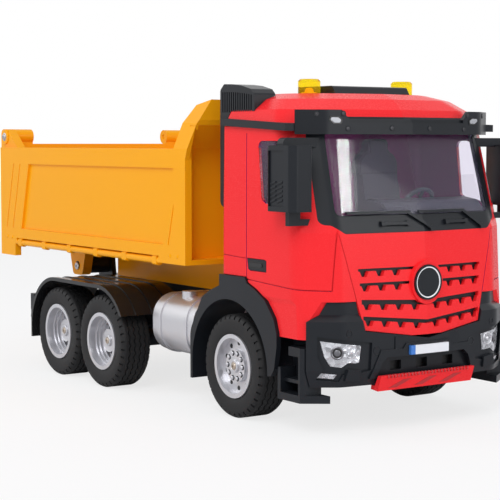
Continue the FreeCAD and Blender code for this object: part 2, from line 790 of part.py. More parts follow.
def windscreen():
    return cab_ring(seat_gap, seat_gap + glass).common(screen_cut())


def side_window(side):
    return cab_ring(seat_gap, seat_gap + glass).common(window_cut(side))


# Wipers and grab handles on the cowl, as front-view lines of (half-width shares, height over the cowl's edge)
wiper_rise = 0.5
wiper_thick = 1.1
blade_width = 1.3
arm_width_front = 1.5
blade_over = 9.7
wiper_share_lines = [[-0.666, -0.118, 0.066], [-0.04, 0.45, 0.62]]   # blade end, elbow, foot
wiper_foot_over = 1.6
wiper_foot = 2.6
grab_shares = [(-0.384, -0.13), (0.222, 0.466)]
grab_over = 4.4
grab_width = 1.4
grab_foot = 2.1


def wipers():
    """Two bent wipers: a blade along the glass and an arm down to its foot on the cowl."""
    out = []
    x0, x1 = nose_x - corner_side * 2, nose_x + cut
    for tip, elbow, foot in wiper_share_lines:
        low, high = cowl_z + wiper_foot_over, cowl_z + blade_over
        ya, yb, yc = tip * cab_half_width, elbow * cab_half_width, foot * cab_half_width
        blade = front_strip([(ya, high), (yb, high)], blade_width, x0, x1)
        arm = front_strip([(yb - blade_width, high), (yc, low)], arm_width_front, x0, x1)
        half = wiper_foot / 2
        base = box(x0, x1, yc - half, yc + half, low - half, low + half)
        proud = blade[0].fuse(arm).common(skin(wiper_rise + wiper_thick, -wiper_rise))
        out.append(proud.fuse(base.common(skin(wiper_rise + wiper_thick, 0))).removeSplitter())
    return out


def grab_handles():
    out = []
    x0, x1 = nose_x - corner_side * 2, nose_x + cut
    for start, stop in grab_shares:
        ya, yb, z = start * cab_half_width, stop * cab_half_width, cowl_z + grab_over
        bar = box(x0, x1, ya, yb, z - grab_width / 2, z + grab_width / 2)
        feet = [box(x0, x1, y, y + grab_foot, z - grab_foot / 2, z + grab_foot / 2)
                for y in (ya, yb - grab_foot)]
        proud = bar.common(skin(wiper_rise + wiper_thick, -wiper_rise))
        feet = [foot.common(skin(wiper_rise + wiper_thick, 0)) for foot in feet]
        out.append(proud.fuse(feet).removeSplitter())
    return out


# Grille: rows of a plain slot with wedge-shaped teeth hanging from it
grille_tops = [79.0, 72.2, 64.4, 56.5]       # upper edge of each row at its ends
grille_drops = [0.0, 0.0, 1.8, 3.4]          # how far each row falls to the middle
grille_slots = [1.3, 1.4, 2.3, 1.9]          # height of the plain slot
grille_teeth = [3, 3, 4, 4]                  # on each side
grille_slot_inset = 26.7
slot_taper = 0.7             # each row is this much narrower at its ends than the one above
tooth_height = 2.6
tooth_top = 5.4
tooth_foot = 2.8
tooth_pitch = 9.1
badge_z = 71.2
badge_radius = 8.5
badge_rim = 0.9
badge_rise = 0.4
collar_width = 1.1
collar_height = 2.2          # over the badge, where the collar is taller than wide
collar_back = 4.2            # rear and front of the collar, behind the nose
collar_front = 1.5
grille_slot_half = cab_half_width - grille_slot_inset


def collar():
    """The oval boss that carries the round badge."""
    half_width, half_height = badge_radius + collar_width, badge_radius + collar_height
    ring = Part.Ellipse(V(0, 0, 0), half_height, half_width).toShape()
    face = Part.Face(Part.Wire(ring))
    face.rotate(V(0, 0, 0), V(0, 1, 0), 90)
    face.translate(V(nose_x - collar_back, 0, badge_z))
    return face.extrude(V(collar_back - collar_front, 0, 0))


def grille_row(index):
    """Cutting shapes of one half row: the slot and its teeth."""
    top, slot = grille_tops[index], grille_slots[index]
    half = grille_slot_half - index * slot_taper
    drop = grille_drops[index] / half
    x0, x1 = nose_x - corner_side, nose_x + cut

    def high(y):
        return top - drop * (half + y)

    slot_points = [(-half, high(-half)), (0, high(0)), (0, high(0) - slot), (-half, high(-half) - slot)]
    pieces = [front_prism(slot_points, x0, x1)]
    count = grille_teeth[index]
    for i in range(count):
        middle = -half + tooth_top / 2 + slot_taper + i * tooth_pitch
        foot = high(middle) - slot - tooth_height
        points = [(middle - tooth_top / 2, high(middle - tooth_top / 2) - slot),
                  (middle + tooth_top / 2, high(middle + tooth_top / 2) - slot),
                  (middle + tooth_foot / 2, foot), (middle - tooth_foot / 2, foot)]
        pieces.append(front_prism([(y, z + (seam_width if i < 2 else 0)) for i, (y, z) in enumerate(points)],
                                  x0, x1))
    return pieces


def grille_panel():
    """The red front panel with its toothed rows and the badge's collar."""
    outline = front_prism(grille_outline(0), nose_x - corner_side, nose_x + cut)
    panel = cab_ring(0, cab_wall).common(outline).cut(surround_cut())
    pieces = [piece for i in range(len(grille_tops)) for piece in grille_row(i)]
    rows = pieces[0].fuse(pieces[1:] + [mirrored(piece) for piece in pieces])
    panel = panel.cut(rows).fuse(collar().cut(cab_hull(cab_wall)))
    seat = cylinder(badge_radius + seat_gap / 2, V(nose_x - collar_front - badge_rise, 0, badge_z),
                    V(nose_x + cut, 0, badge_z))
    return panel.cut(seat).removeSplitter()


def grille_backing():
    """The dark plate behind the grille's rows."""
    points = [(-grille_low_half, grille_low_z), (-grille_slot_half - cab_wall, grille_tops[0] + cab_wall)]
    prism = front_prism(both_sides(points), nose_x - corner_side, nose_x + cut)
    return cab_ring(cab_wall, cab_wall * 2).common(prism)


def badge():
    """A round blank badge with a raised rim, seated in the collar."""
    x0 = nose_x - collar_front - badge_rise
    disc = cylinder(badge_radius, V(x0, 0, badge_z), V(x0 + badge_rise * 2, 0, badge_z))
    ring = cylinder(badge_radius, V(x0, 0, badge_z), V(x0 + badge_rise * 3, 0, badge_z))
    return disc.fuse(ring.cut(cylinder(badge_radius - badge_rim, V(x0 - cut, 0, badge_z),
                                       V(x0 + cut, 0, badge_z)))).removeSplitter()


def cab_floor():
    """The closed floor and engine hump, seated inside the shell."""
    inner = cab_hull(cab_wall)
    slab = box(cab_x, nose_x - corner_side, -cab_half_width, cab_half_width, floor_z, floor_z + cab_wall)
    return slab.common(inner)


seat_width = 24.0
seat_y = 27.0
seat_front = 28.0
seat_depth = 24.0
seat_height = 18.0
seat_back = 46.0
seat_thick = 7.0
seat_radii = [0, 3.0, 2.0, 3.0, 3.0, 0]


def seats():
    z0 = floor_z + cab_wall
    x1 = front_x + seat_front
    x0, top = x1 - seat_depth, z0 + seat_back + seat_thick
    points = [(x1, z0), (x1, z0 + seat_height), (x0 + seat_thick, z0 + seat_height), (x0, top),
              (x0 - seat_thick, top), (x0 - seat_thick / 2, z0)]
    return pair(side_prism(points, -seat_y - seat_width / 2, -seat_y + seat_width / 2, seat_radii))


dash_depth = 20.0
dash_top = 102.0


def dashboard():
    inner = cab_hull(cab_wall * 2 + seat_gap)
    low = floor_z + cab_wall
    back = nose_x - corner_side - dash_depth
    outline = [(back, low), (nose_x - corner_side, low), (nose_x, (low + dash_top) / 2), (nose_x, dash_top),
               (back + dash_depth / 4, dash_top)]
    slab = side_prism(outline, -cab_half_width, cab_half_width)
    return slab.common(inner)


wheel_ring = 9.5
wheel_ring_wire = 1.1
wheel_y = 27.0
wheel_lean = 55.0
spoke_radius = 0.9
column_length = 15.2


def steering_wheel():
    corners = [V(wheel_ring + wheel_ring_wire * math.cos(math.pi * i / 3), 0,
                 wheel_ring_wire * math.sin(math.pi * i / 3)) for i in range(7)]
    ring = Part.Face(Part.makePolygon(corners)).revolve(V(0, 0, 0), V(0, 0, 1), 360)
    hub = Part.makeCylinder(wheel_ring / 4, wheel_ring_wire * 2, V(0, 0, -wheel_ring_wire))
    spokes = [cylinder(spoke_radius, V(0, 0, 0),
                       V(wheel_ring * math.cos(a), wheel_ring * math.sin(a), 0))
              for a in (0, math.pi * 2 / 3, math.pi * 4 / 3)]
    column = cylinder(wheel_ring_wire, V(0, 0, 0), V(0, 0, -column_length))
    wheel = ring.fuse([hub, column] + spokes)
    wheel.rotate(V(0, 0, 0), V(0, 1, 0), -wheel_lean)
    wheel.translate(V(nose_x - corner_side - dash_depth - wheel_ring / 2, wheel_y, dash_top + wheel_ring / 2))
    return wheel.cut(dashboard()).Solids[0]


# Outside of the cab
visor_rear = 27.0            # rear edge of the visor's ends, behind the nose
gutter_rise = 1.2
gutter_height = 3.6
gutter_slope = 3.0
gutter_rear = 1.0


def gutter(side):
    """The dark strip under the roof, which falls a little toward the front."""
    x0, x1 = cab_x + gutter_rear, nose_x - visor_rear - seat_gap
    front_z = gutter_z - gutter_slope
    points = [(x0, gutter_z), (x1, front_z), (x1, front_z + gutter_height), (x0, gutter_z + gutter_height)]
    band = side_prism(points, side * (cab_half_width - corner_side), side * (cab_half_width + gutter_rise))
    return band.cut(cab_hull(0)).Solids[-1]


visor_low = 142.4
visor_middle = 149.8         # top of the middle band
visor_high = 154.0           # top of the raised ends
visor_step_start = 29.0      # the raised ends stop here, inside the cab's half width
visor_step_end = 25.0
visor_stay_y = 38.0
visor_wall = 2.4
visor_proud = 1.4
visor_reach = 3.6
visor_groove = 1.6           # height of the set-back strip along the middle band's top
visor_section = 2            # the cab section whose plan the visor follows


def visor_form(inset):
    """An upright body with the cab's plan at the visor, its sides moved inward by inset."""
    plan = Part.Face(cab_section(visor_section, inset - visor_proud, visor_reach))
    plan.translate(V(0, 0, visor_low - cut - plan.BoundBox.ZMin))
    return plan.extrude(V(0, 0, visor_high - visor_low + cut * 2))


def sun_visor():
    """A wrap-round upright band over the windscreen with raised ends, carried by three stays."""
    outer = visor_form(0)
    inner = visor_form(visor_wall)
    side, step = cab_half_width + cut, cab_half_width - visor_step_end
    half = [(-side, visor_low), (-side, visor_high), (-step, visor_high),
            (-cab_half_width + visor_step_start, visor_middle)]
    slab = front_prism(both_sides(half), nose_x - visor_rear, nose_x + cut)
    stays = [box(nose_x - visor_rear, nose_x, y - visor_wall, y + visor_wall,
                 visor_middle - visor_wall * 2, visor_middle - visor_wall)
             for y in (-visor_stay_y, 0, visor_stay_y)]
    stays = [stay.common(outer) for stay in stays]
    band = box(nose_x - visor_rear, nose_x + cut, -cab_half_width + visor_step_start,
               cab_half_width - visor_step_start, visor_middle - visor_groove, visor_middle + cut)
    groove = band.cut(visor_form(visor_wall / 2))
    return outer.cut(inner).common(slab).cut(groove).fuse(stays).cut(cab_hull(0)).removeSplitter()


mirror_low = 106.3
mirror_high = 137.2
mirror_rear = 42.5           # rear edge of the housing, ahead of the front axle
mirror_front = 63.7
mirror_proud = 8.3           # outer face, outside the cab
mirror_depth = 12.5
mirror_taper = 3.0           # depth of its rear edge
mirror_radius = 2.0
mirror_border = 2.4
mirror_sink = 0.9
mirror_arm = 3.0
mirror_arm_rise = 3.6
mirror_arm_back = 16.0       # foot of the upper arm, behind the housing's front edge
mirror_arm_width = 5.0
mirror_radii = [1.0, 2.0, 2.0, 2.0, 2.0, 2.0, 0]


def mirror():
    """A wedge-shaped mirror housing with a sunk face, on an upper and a lower arm."""
    x0, x1 = front_x + mirror_rear, front_x + mirror_front
    y0 = -cab_half_width - mirror_proud
    y1 = y0 + mirror_depth
    plan = [(x0, y0 + mirror_radius), (x0 + mirror_radius, y0), (x1 - mirror_radius, y0),
            (x1, y0 + mirror_taper), (x1, y1), (x1 - mirror_taper, y1), (x0, y0 + mirror_taper * 2)]
    housing = plan_prism(plan, mirror_low, mirror_high, mirror_radii)
    face = box(x0 + mirror_border, x1 - mirror_radius - mirror_border * 2, y0 - cut, y0 + mirror_sink,
               mirror_low + mirror_border, mirror_high - mirror_border)
    x_arm = x1 - mirror_arm * 2
    inner = -cab_half_width + corner_side
    post = box(x_arm - mirror_arm, x_arm, y0 + mirror_taper, y1 - mirror_taper,
               mirror_low - mirror_arm_rise, mirror_low + mirror_arm)
    x_up = x1 - mirror_arm_back
    upper = box(x_up, x_up + mirror_arm_width, y0 + mirror_taper, inner,
                mirror_high - mirror_sink, mirror_high + mirror_arm_rise)
    crown = V(x_up + mirror_arm_width / 2, y0 + mirror_taper, mirror_high + mirror_arm_rise)
    upper = upper.makeFillet(mirror_arm, [e for e in upper.Edges if (e.CenterOfMass - crown).Length < 1e-3])
    lower = box(x_arm - mirror_arm, x_arm, y0 + mirror_taper, inner,
                mirror_low - mirror_arm_rise - mirror_arm, mirror_low - mirror_arm_rise)
    return housing.cut(face).fuse([post, upper, lower]).cut(cab_hull(0)).Solids[0].removeSplitter()


beacon_radius = 5.6
beacon_y = 30.0
beacon_x = 18.2
beacon_top = 170.0


def beacons():
    out = []
    for side in (-1, 1):
        base = V(front_x + beacon_x, side * beacon_y, roof_z - cab_wall)
        lamp = cylinder(beacon_radius, base, V(base.x, base.y, beacon_top))
        rim_edge = [e for e in lamp.Edges if e.Closed and abs(e.CenterOfMass.z - beacon_top) < 1e-3]
        out.append(lamp.makeChamfer(beacon_radius / 6, rim_edge).cut(cab_hull(0)))
    return out


hatch_half = 24.0
hatch_length = 30.0
hatch_back = 6.0
hatch_rise = 4.0
hatch_radii = [0, 0, 2.0, 2.0]


def roof_hatch():
    x0 = cab_x + hatch_back + rear_back[-1]
    points = [(x0, roof_z - cab_wall), (x0 + hatch_length, roof_z - cab_wall),
              (x0 + hatch_length - hatch_rise, roof_z + hatch_rise), (x0 + hatch_rise, roof_z + hatch_rise)]
    return side_prism(points, -hatch_half, hatch_half, hatch_radii).cut(cab_hull(0))


# The intake's side outline is (ahead of the front axle, height)
intake_low = 151.0
intake_outline = [(-14.7, intake_low), (-14.7, 164.8), (-11.3, 167.8), (-3.5, 167.5), (4.1, 166.7),
                  (12.5, 164.8), (15.2, 162.4), (16.2, intake_low)]
intake_radii = [0, 2.0, 2.0, 0, 0, 2.0, 2.0, 0]
intake_outer_inset = 4.0     # inside the cab's half width
intake_inner_inset = 17.0
stem_depth = 6.6
stem_low = 106.0
stem_width = 12.0
louvres = 14
louvre_start = -12.3         # ahead of the front axle
louvre_end = 12.9
louvre_low = 153.6
louvre_high = 163.8
louvre_drop = 1.8            # the foremost louvre is this much shorter
louvre_width = 0.9
louvre_depth = 1.3


def air_intake():
    """The louvred intake over the roof's right side, on a stem down the cab's back."""
    y0, y1 = -cab_half_width + intake_outer_inset, -cab_half_width + intake_inner_inset
    points = [(front_x + x, z) for x, z in intake_outline]
    head = side_prism(points, y0, y1, intake_radii)
    pitch = (louvre_end - louvre_start) / (louvres - 1)
    slots = []
    for i in range(louvres):
        x = front_x + louvre_start + i * pitch
        top = louvre_high - louvre_drop * (i / (louvres - 1)) ** 2
        slots.append(box(x - louvre_width / 2, x + louvre_width / 2, y0 - cut, y0 + louvre_depth,
                         louvre_low, top))
    stem = box(cab_x - seat_gap - stem_depth, cab_x - seat_gap, y0, y0 + stem_width, stem_low, intake_low)
    corner = V(stem.BoundBox.XMin, y0 + stem_width / 2, stem_low)
    stem = stem.makeFillet(stem_depth / 2, [e for e in stem.Edges if (e.CenterOfMass - corner).Length < 1e-3])
    return head.cut(slots).fuse(stem).cut(cab_hull(-seam_width / 2)).removeSplitter()


# Front bumper: wraps the nose under the grille
bumper_top = 63.5
bumper_foot = 8.0            # height of the leaning lower edge
bumper_lean = 2.0
shoulder_z = 54.6            # where the bumper steps in to its neck
shoulder_run = 3.0
neck_inset = 2.4
bumper_proud = 0.5           # outside the cab
bumper_wall = 3.0
bumper_back = 15.5           # rear edge of its corners, behind the nose
neck_run = 3.1               # the neck's ends are this much further forward
bracket_rise = 2.0
recess_depth = 1.2
pad_rise = 0.7
# Lamps, pads and their recesses: (outer, inner) from the middle plane, (low, high) over the bumper's foot
lamp_inset = 9.0
lamp_width_front = 18.7
lamp_low = 9.5
lamp_tall = 12.5
lamp_shares = [(0.0, 1.0), (1.0, 0.78), (0.94, 0.15), (0.83, 0.13), (0.62, 0.17), (0.44, 0.0), (0.21, 0.05),
               (0.09, 0.4)]
surround_inset = 7.2
surround_width = 26.1
surround_low = 5.6
surround_tall = 18.6
surround_shares = [(0.0, 1.0), (1.0, 0.8), (0.97, 0.1), (0.6, 0.0), (0.12, 0.06), (0.0, 0.5)]
fog_inset = 8.2
fog_width = 7.4
fog_low = 4.0
fog_tall = 2.9
fog_shares = [(0.07, 1.0), (1.0, 0.72), (0.87, 0.0), (0.0, 0.2)]
fog_surround_inset = 7.0
fog_surround_width = 11.0
fog_surround_low = 2.8
fog_surround_tall = 5.0
fog_surround_shares = [(0.2, 1.0), (1.0, 0.9), (0.85, 0.0), (0.0, 0.2)]
pad_inset = 18.3
pad_width = 8.4
pad_low = 2.5
pad_tall = 6.2
pad_shares = [(0.15, 1.0), (1.0, 0.85), (0.95, 0.0), (0.0, 0.1)]
# Framed opening under the plate, as (from the middle plane, over the bumper's foot)
mouth_half = 30.5
mouth_top = 13.0
mouth_shares = [(1.0, 0.25), (0.9, 0.8), (0.8, 1.0)]
mouth_frame = 3.6
mouth_frame_rise = 0.6
mouth_bump_half = 13.6       # the frame rises round the plate
mouth_bump_top = 19.2
mouth_panel_depth = 7.0      # the sunk panel, behind the nose
mouth_panel_wall = 1.5
mouth_panel_half = 36.0
hole_width = 7.0
hole_height = 4.6
hole_low = 6.0
hole_pitch = 16.6
bumper_half = cab_half_width + bumper_proud


def bumper_loop(inset, z, lean):
    x1 = nose_x - inset - lean
    x0 = nose_x - corner_side * 2 + (0 if inset == 0 else -cut)
    y1 = bumper_half - inset
    half = [(x1, 0), (x1 - corner_run, -(y1 - corner_side)), (x1 - corner_side, -y1), (x0, -y1)]
    points = half + [(x, -y) for x, y in reversed(half[1:])]
    return rounded([V(x, y, z) for x, y in points],
                   [0, corner_radius, corner_radius, 0, 0, corner_radius, corner_radius])


def bumper_solid(inset, extra=0):
    """The bumper's form moved inward by inset, its ends run past by extra."""
    foot = bumper_bottom - extra
    return Part.makeLoft([bumper_loop(inset, foot, bumper_lean),
                          bumper_loop(inset, bumper_bottom + bumper_foot, 0),
                          bumper_loop(inset, shoulder_z, 0),
                          bumper_loop(inset + neck_inset, shoulder_z + shoulder_run, 0),
                          bumper_loop(inset + neck_inset, bumper_top + extra, 0)], True, True)


def bumper_space(margin, front, half):
    """The room of the bumper in side view: its rear edge leans forward over the shoulder."""
    rear = nose_x - bumper_back + margin
    return side_prism([(rear, 0), (rear, shoulder_z), (rear + neck_run, bumper_top + seat_gap - margin),
                       (front, bumper_top + seat_gap - margin), (front, 0)], -half, half)


def bumper_skin(proud, depth):
    """The layer of the bumper from one height over its face to one depth under it."""
    return bumper_solid(-proud, cut).cut(bumper_solid(depth, cut * 2))


def face_prism(shares, inset, width, low, tall):
    """An outline on the bumper's right face, run through it."""
    y0 = -bumper_half + inset
    points = spread(shares, y0, y0 + width, bumper_bottom + low, bumper_bottom + low + tall)
    return front_prism(points, nose_x - corner_side * 2, nose_x + cut)


def lamp_prisms():
    lamp = face_prism(lamp_shares, lamp_inset, lamp_width_front, lamp_low, lamp_tall)
    fog = face_prism(fog_shares, fog_inset, fog_width, fog_low, fog_tall)
    return [lamp, fog]


def mouth_outline(margin, bump):
    """The lower opening's outline grown by a margin, with or without its rise round the plate."""
    half = [(-mouth_half * a - margin, bumper_bottom + mouth_top * b + (margin if b == 1.0 else 0))
            for a, b in mouth_shares]
    if bump:
        half = half[:-1] + [(half[-1][0], half[-1][1]), (-mouth_bump_half - mouth_frame / 2, half[-1][1]),
                            (-mouth_bump_half, bumper_bottom + mouth_bump_top)]
    return both_sides(half)


def front_bumper():
    """The bumper's skin with a neck, lamp recesses, a framed opening, a sunk panel and two brackets."""
    x0, x1 = nose_x - corner_side, nose_x + cut
    shell = bumper_solid(0).cut(bumper_solid(bumper_wall, cut))
    room = bumper_space(seat_gap, nose_x + cut, bumper_half + cut)
    v_cut = front_prism(grille_outline(seat_gap), nose_x - corner_side * 2, nose_x + cut)
    mouth = front_prism(mouth_outline(0, False), x0, x1)
    sunk = bumper_skin(cut, recess_depth)
    wells = [face_prism(surround_shares, surround_inset, surround_width, surround_low, surround_tall),
             face_prism(fog_surround_shares, fog_surround_inset, fog_surround_width, fog_surround_low,
                        fog_surround_tall)]
    wells = [well.common(sunk) for well in wells]
    shell = shell.common(room).cut([v_cut, mouth] + wells + [mirrored(well) for well in wells])
    shell = shell.cut(lamp_prisms() + [mirrored(lamp) for lamp in lamp_prisms()])
    raised = bumper_skin(pad_rise, bumper_wall / 2)
    pad = face_prism(pad_shares, pad_inset, pad_width, pad_low, pad_tall).common(raised)
    plate_room = box(x0, x1, -plate_half - seat_gap, plate_half + seat_gap,
                     plate_z - seat_gap, plate_z + plate_height + seat_gap)
    frame = front_prism(mouth_outline(mouth_frame, True), x0, x1).cut([mouth, plate_room, v_cut])
    frame = frame.common(bumper_skin(mouth_frame_rise, bumper_wall / 2))
    panel = box(nose_x - mouth_panel_depth, nose_x - mouth_panel_depth + mouth_panel_wall, -mouth_panel_half,
                mouth_panel_half, bumper_bottom + bumper_lean, bumper_bottom + mouth_top + bumper_lean)
    for i in (-1, 0, 1):
        panel = panel.cut(box(x0, x1, i * hole_pitch - hole_width / 2, i * hole_pitch + hole_width / 2,
                              bumper_bottom + hole_low, bumper_bottom + hole_low + hole_height))
    bracket_z = rail_bottom + bracket_rise
    brackets = [box(nose_x - rail_nose, nose_x - bumper_wall / 2, side * (rail_half - rail_flange),
                    side * rail_half, bracket_z, bracket_z + cross_width) for side in (-1, 1)]
    return shell.fuse([pad, mirrored(pad), frame, panel] + brackets).removeSplitter()


def headlamps():
    """Head and fog lamps, set back a little in their recesses."""
    ring = bumper_solid(recess_depth - seat_gap).cut(bumper_solid(bumper_wall, cut))
    ring = ring.common(bumper_space(seat_gap, nose_x, bumper_half))
    lamps = [ring.common(prism) for prism in lamp_prisms()]
    return lamps + [mirrored(lamp) for lamp in lamps]


plate_half = 12.0
plate_height = 4.4
plate_z = 37.0


def number_plate():
    return box(nose_x - bumper_wall / 2, nose_x + plate_proud, -plate_half, plate_half,
               plate_z, plate_z + plate_height).cut(bumper_solid(0))


skid_half = 29.8
skid_top = 28.0
skid_bottom = 20.4
skid_depth = 15.0
skid_lean = 2.6              # its lower front edge, behind the upper one
skid_wall = 2.4
skid_tail_rise = 1.2         # the floor's rear end, over its front end


def skid_plate():
    """The red lip under the bumper: a leaning front face and a floor that runs back."""
    lip_x, tail_x, tail_z = nose_x - skid_lean, nose_x - skid_depth, skid_bottom + skid_tail_rise
    points = [(nose_x, skid_top), (lip_x, skid_bottom), (tail_x, tail_z), (tail_x, tail_z + skid_wall),
              (lip_x - skid_wall, skid_bottom + skid_wall), (nose_x - skid_wall, skid_top)]
    plate = side_prism(points, -skid_half, skid_half)
    return plate.cut([bumper_solid(0), bumper_solid(bumper_wall, cut)])


# Wheel housings. The lip's outline is (ahead of the front axle, height)
arch_inner_y = 40.0
arch_proud = 1.0             # outside the cab
arch_flap_z = 16.0
arch_lip_outline = [(-36.0, arch_flap_z), (-36.0, 41.0), (-24.5, 59.6), (-17.8, 63.2), (-8.4, 66.6),
                    (-8.4, 72.4), (14.5, 72.4), (16.2, 69.6), (22.9, 67.1), (31.7, 62.4), (39.0, 54.2),
                    (41.6, 47.1), (41.6, 40.9), (39.6, 30.0), (37.0, axle_z)]
arch_lip_radii = [0, 12.0, 6.0, 8.0, 0, 0, 0, 0, 8.0, 6.0, 6.0, 4.0, 6.0, 0, 0]


def arch_lip_prism(margin):
    """The black lip's outline grown by a margin, as a cutting shape through the cab's side."""
    points = [(front_x + x + (margin if x > 0 else -margin), z + (margin if z > axle_z else 0))
              for x, z in arch_lip_outline]
    return side_prism(points, -cab_half_width - cut, -cab_half_width + cab_wall, arch_lip_radii)


def front_arch():
    """A wheel housing: a half tube with a wide outer lip, closed behind by a flap."""
    y0, y1 = -arch_inner_y, -cab_half_width - arch_proud
    tube = cylinder(arch_radius + arch_wall, V(front_x, y0, axle_z), V(front_x, y1, axle_z))
    points = [(front_x + x, z) for x, z in arch_lip_outline]
    lip = side_prism(points, y1, -cab_half_width + cab_wall - seat_gap, arch_lip_radii)
    below = box(front_x - arch_radius * 2, front_x + arch_radius * 2, y0 + cut, y1 - cut,
                -arch_radius, axle_z)
    flap = box(front_x - arch_radius - arch_wall, front_x - arch_radius, y0, y1, arch_flap_z, axle_z)
    body = tube.cut(below).fuse([lip, flap])
    opening = arch_cut(arch_radius, arch_inner_y - cut, cab_half_width + arch_proud + cut)[0]
    return body.cut([opening, cab_floor()]).Solids[0].removeSplitter()


step_low = 16.0
step_high = 46.0
step_front = 6.5             # the tray's front end, behind the nose
step_depth = 12.0
tread = 2.4
step_tray = 3.6
step_side_high = 31.4
step_bar_low = 37.6
step_bar_high = 42.0
step_middle_z = 24.6
step_middle_wall = 1.7
step_post = 2.6


def side_steps():
    """Entry steps between the wheel arch and the bumper's corner: tray, tread, bar and plates."""
    x0 = front_x + arch_radius + arch_wall + tread * 2
    x1 = nose_x - bumper_back - seat_gap
    y0, y1 = -cab_half_width + seat_gap, -cab_half_width + step_depth
    tray = box(x0, nose_x - step_front, y0, y1, step_low, step_low + step_tray)
    back = box(x0, x1, y1 - tread, y1, step_low, step_high - seat_gap)
    side = box(x0, x0 + tread, y0, y1, step_low, step_side_high)
    middle = box(x0, x1, y0 + tread, y1, step_middle_z, step_middle_z + step_middle_wall)
    bar = box(x0 + tread * 3, x1, y0 + tread / 2, y1, step_bar_low, step_bar_high)
    post = box(x1 - step_post, x1, y0, y1, step_low, step_bar_high)
    solid = back.fuse([tray, side, middle, bar, post])
    corner = plan_prism([(x0, 0), (x0, y0), (nose_x - corner_side, y0), (nose_x - corner_run, y0 + corner_side),
                         (nose_x - corner_run, 0)], step_low, step_high)
    under_bumper = box(nose_x - bumper_back - seat_gap, nose_x, y0, 0, bumper_bottom - seat_gap, step_high)
    return solid.common(corner).cut([under_bumper, arch_lip_prism(seat_gap)]).removeSplitter()


# Load bed. Side panels are (ahead of the bed's rear face, height), and slanted at both ends.
bed_recess = 1.4
panel_low = 84.8
panel_high = 125.2
panel_rear = 29.5            # the panel's lower rear corner, ahead of the bed's rear face
panel_front = 22.5           # its lower front corner, behind the bed's front face
panel_slant = 11.0
rear_post = 20.5
post_drop = 7.6
rib_starts = [8.5, 17.5]     # slanted grooves behind the panel
rib_front = 5.5              # and one ahead of it, behind the panel's front corner
rib_width = 0.9
rib_depth = 0.5
rail_start = 22.5            # the round lower rail, ahead of the bed's rear face
rail_end = 27.0              # and its front end, behind the bed's front face
rail_rise = 3.6              # underside of the wall over the rail
rail_radius = 1.9
clamps = 6
clamp_radius = 2.7
clamp_length = 4.6
head_top = 160.5
head_lean = 7.5
head_knee = 129.6            # where the headboard starts to lean
head_lip = 150.0             # lower edge of its upright top
head_depth = 11.5
head_corner = 12.0
head_side_in = 3.0
head_wall = 2.6
ear_width = 5.6
ear_inset = 3.2              # the ears' outer faces, inside the bed's sides
ear_foot = 9.0
ear_round_share = 0.8
barrel_length = 12.4


def bed_side():
    """One side wall: a sunk slanted panel, slanted ribs, and a clamped round rail along its foot."""
    x0, x1 = bed_tail_x, bed_front_x
    outer, inner = -bed_half_width, -bed_half_width + bed_wall + bed_recess
    wall = box(x0, x1, outer, inner, bed_bottom, bed_rail_top)
    low_rear, low_front = x0 + panel_rear, x1 - panel_front
    panel = side_prism([(low_rear, panel_low), (low_front, panel_low), (low_front + panel_slant, panel_high),
                        (low_rear + panel_slant, panel_high)], outer - cut, outer + bed_recess)
    grooves = []
    for x in [x0 + start for start in rib_starts] + [low_front + rib_front]:
        line = [(x, panel_low), (x + panel_slant, panel_high)]
        grooves += strip(line, rib_width, outer - cut, outer + rib_depth)
    rail_x0, rail_x1 = x0 + rail_start, x1 - rail_end
    under = box(rail_x0, rail_x1, outer - cut, outer + rail_radius * 2, bed_bottom - cut,
                bed_bottom + rail_rise)
    foot = box(x0, x0 + rear_post, outer, inner, bed_bottom - post_drop, bed_bottom)
    centre = V(0, outer + rail_radius, bed_bottom + rail_radius / 2)
    bar = cylinder(rail_radius, centre + V(rail_x0, 0, 0), centre + V(rail_x1, 0, 0))
    pieces = [foot, bar]
    pitch = (rail_x1 - rail_x0 - clamp_length * 2) / (clamps - 1)
    for i in range(clamps):
        x = rail_x0 + clamp_length / 2 + i * pitch
        pieces.append(cylinder(clamp_radius, centre + V(x, 0, 0), centre + V(x + clamp_length, 0, 0)))
        pieces.append(box(x, x + clamp_length, outer + rib_depth, inner, bed_bottom, bed_bottom + rail_rise))
    outside = box(x0, x1, outer - cut, outer, bed_bottom - cut, panel_low)
    return wall.cut([panel, under] + grooves).fuse(pieces).cut(outside)


def headboard():
    """The raised front wall: it leans over the cab's back, hollow in front, its top corners cut off."""
    x1 = bed_front_x
    lean = x1 + head_lean
    outline = [(x1 - head_depth, bed_bottom), (x1, bed_bottom), (x1, head_knee), (lean, head_lip),
               (lean, head_top), (lean - head_depth, head_top - head_wall), (x1 - head_depth, bed_rail_top)]
    wall = side_prism(outline, -bed_half_width, bed_half_width)
    back, low, high = x1 - head_depth + head_wall, bed_bottom + head_wall, head_lip - head_wall
    hollow = side_prism([(back, low), (x1 + cut, low), (lean + cut * 2, high),
                         (lean - head_depth + head_wall * 2, high), (back, bed_rail_top)],
                        -bed_half_width + head_wall, bed_half_width - head_wall)
    top_half = bed_half_width - head_side_in
    half = [(-bed_half_width, bed_bottom - cut), (-bed_half_width, bed_rail_top),
            (-top_half, head_top - head_corner), (-top_half + head_corner, head_top + cut)]
    return wall.cut(hollow).common(front_prism(both_sides(half), x1 - head_depth * 2, x1 + head_depth * 2))


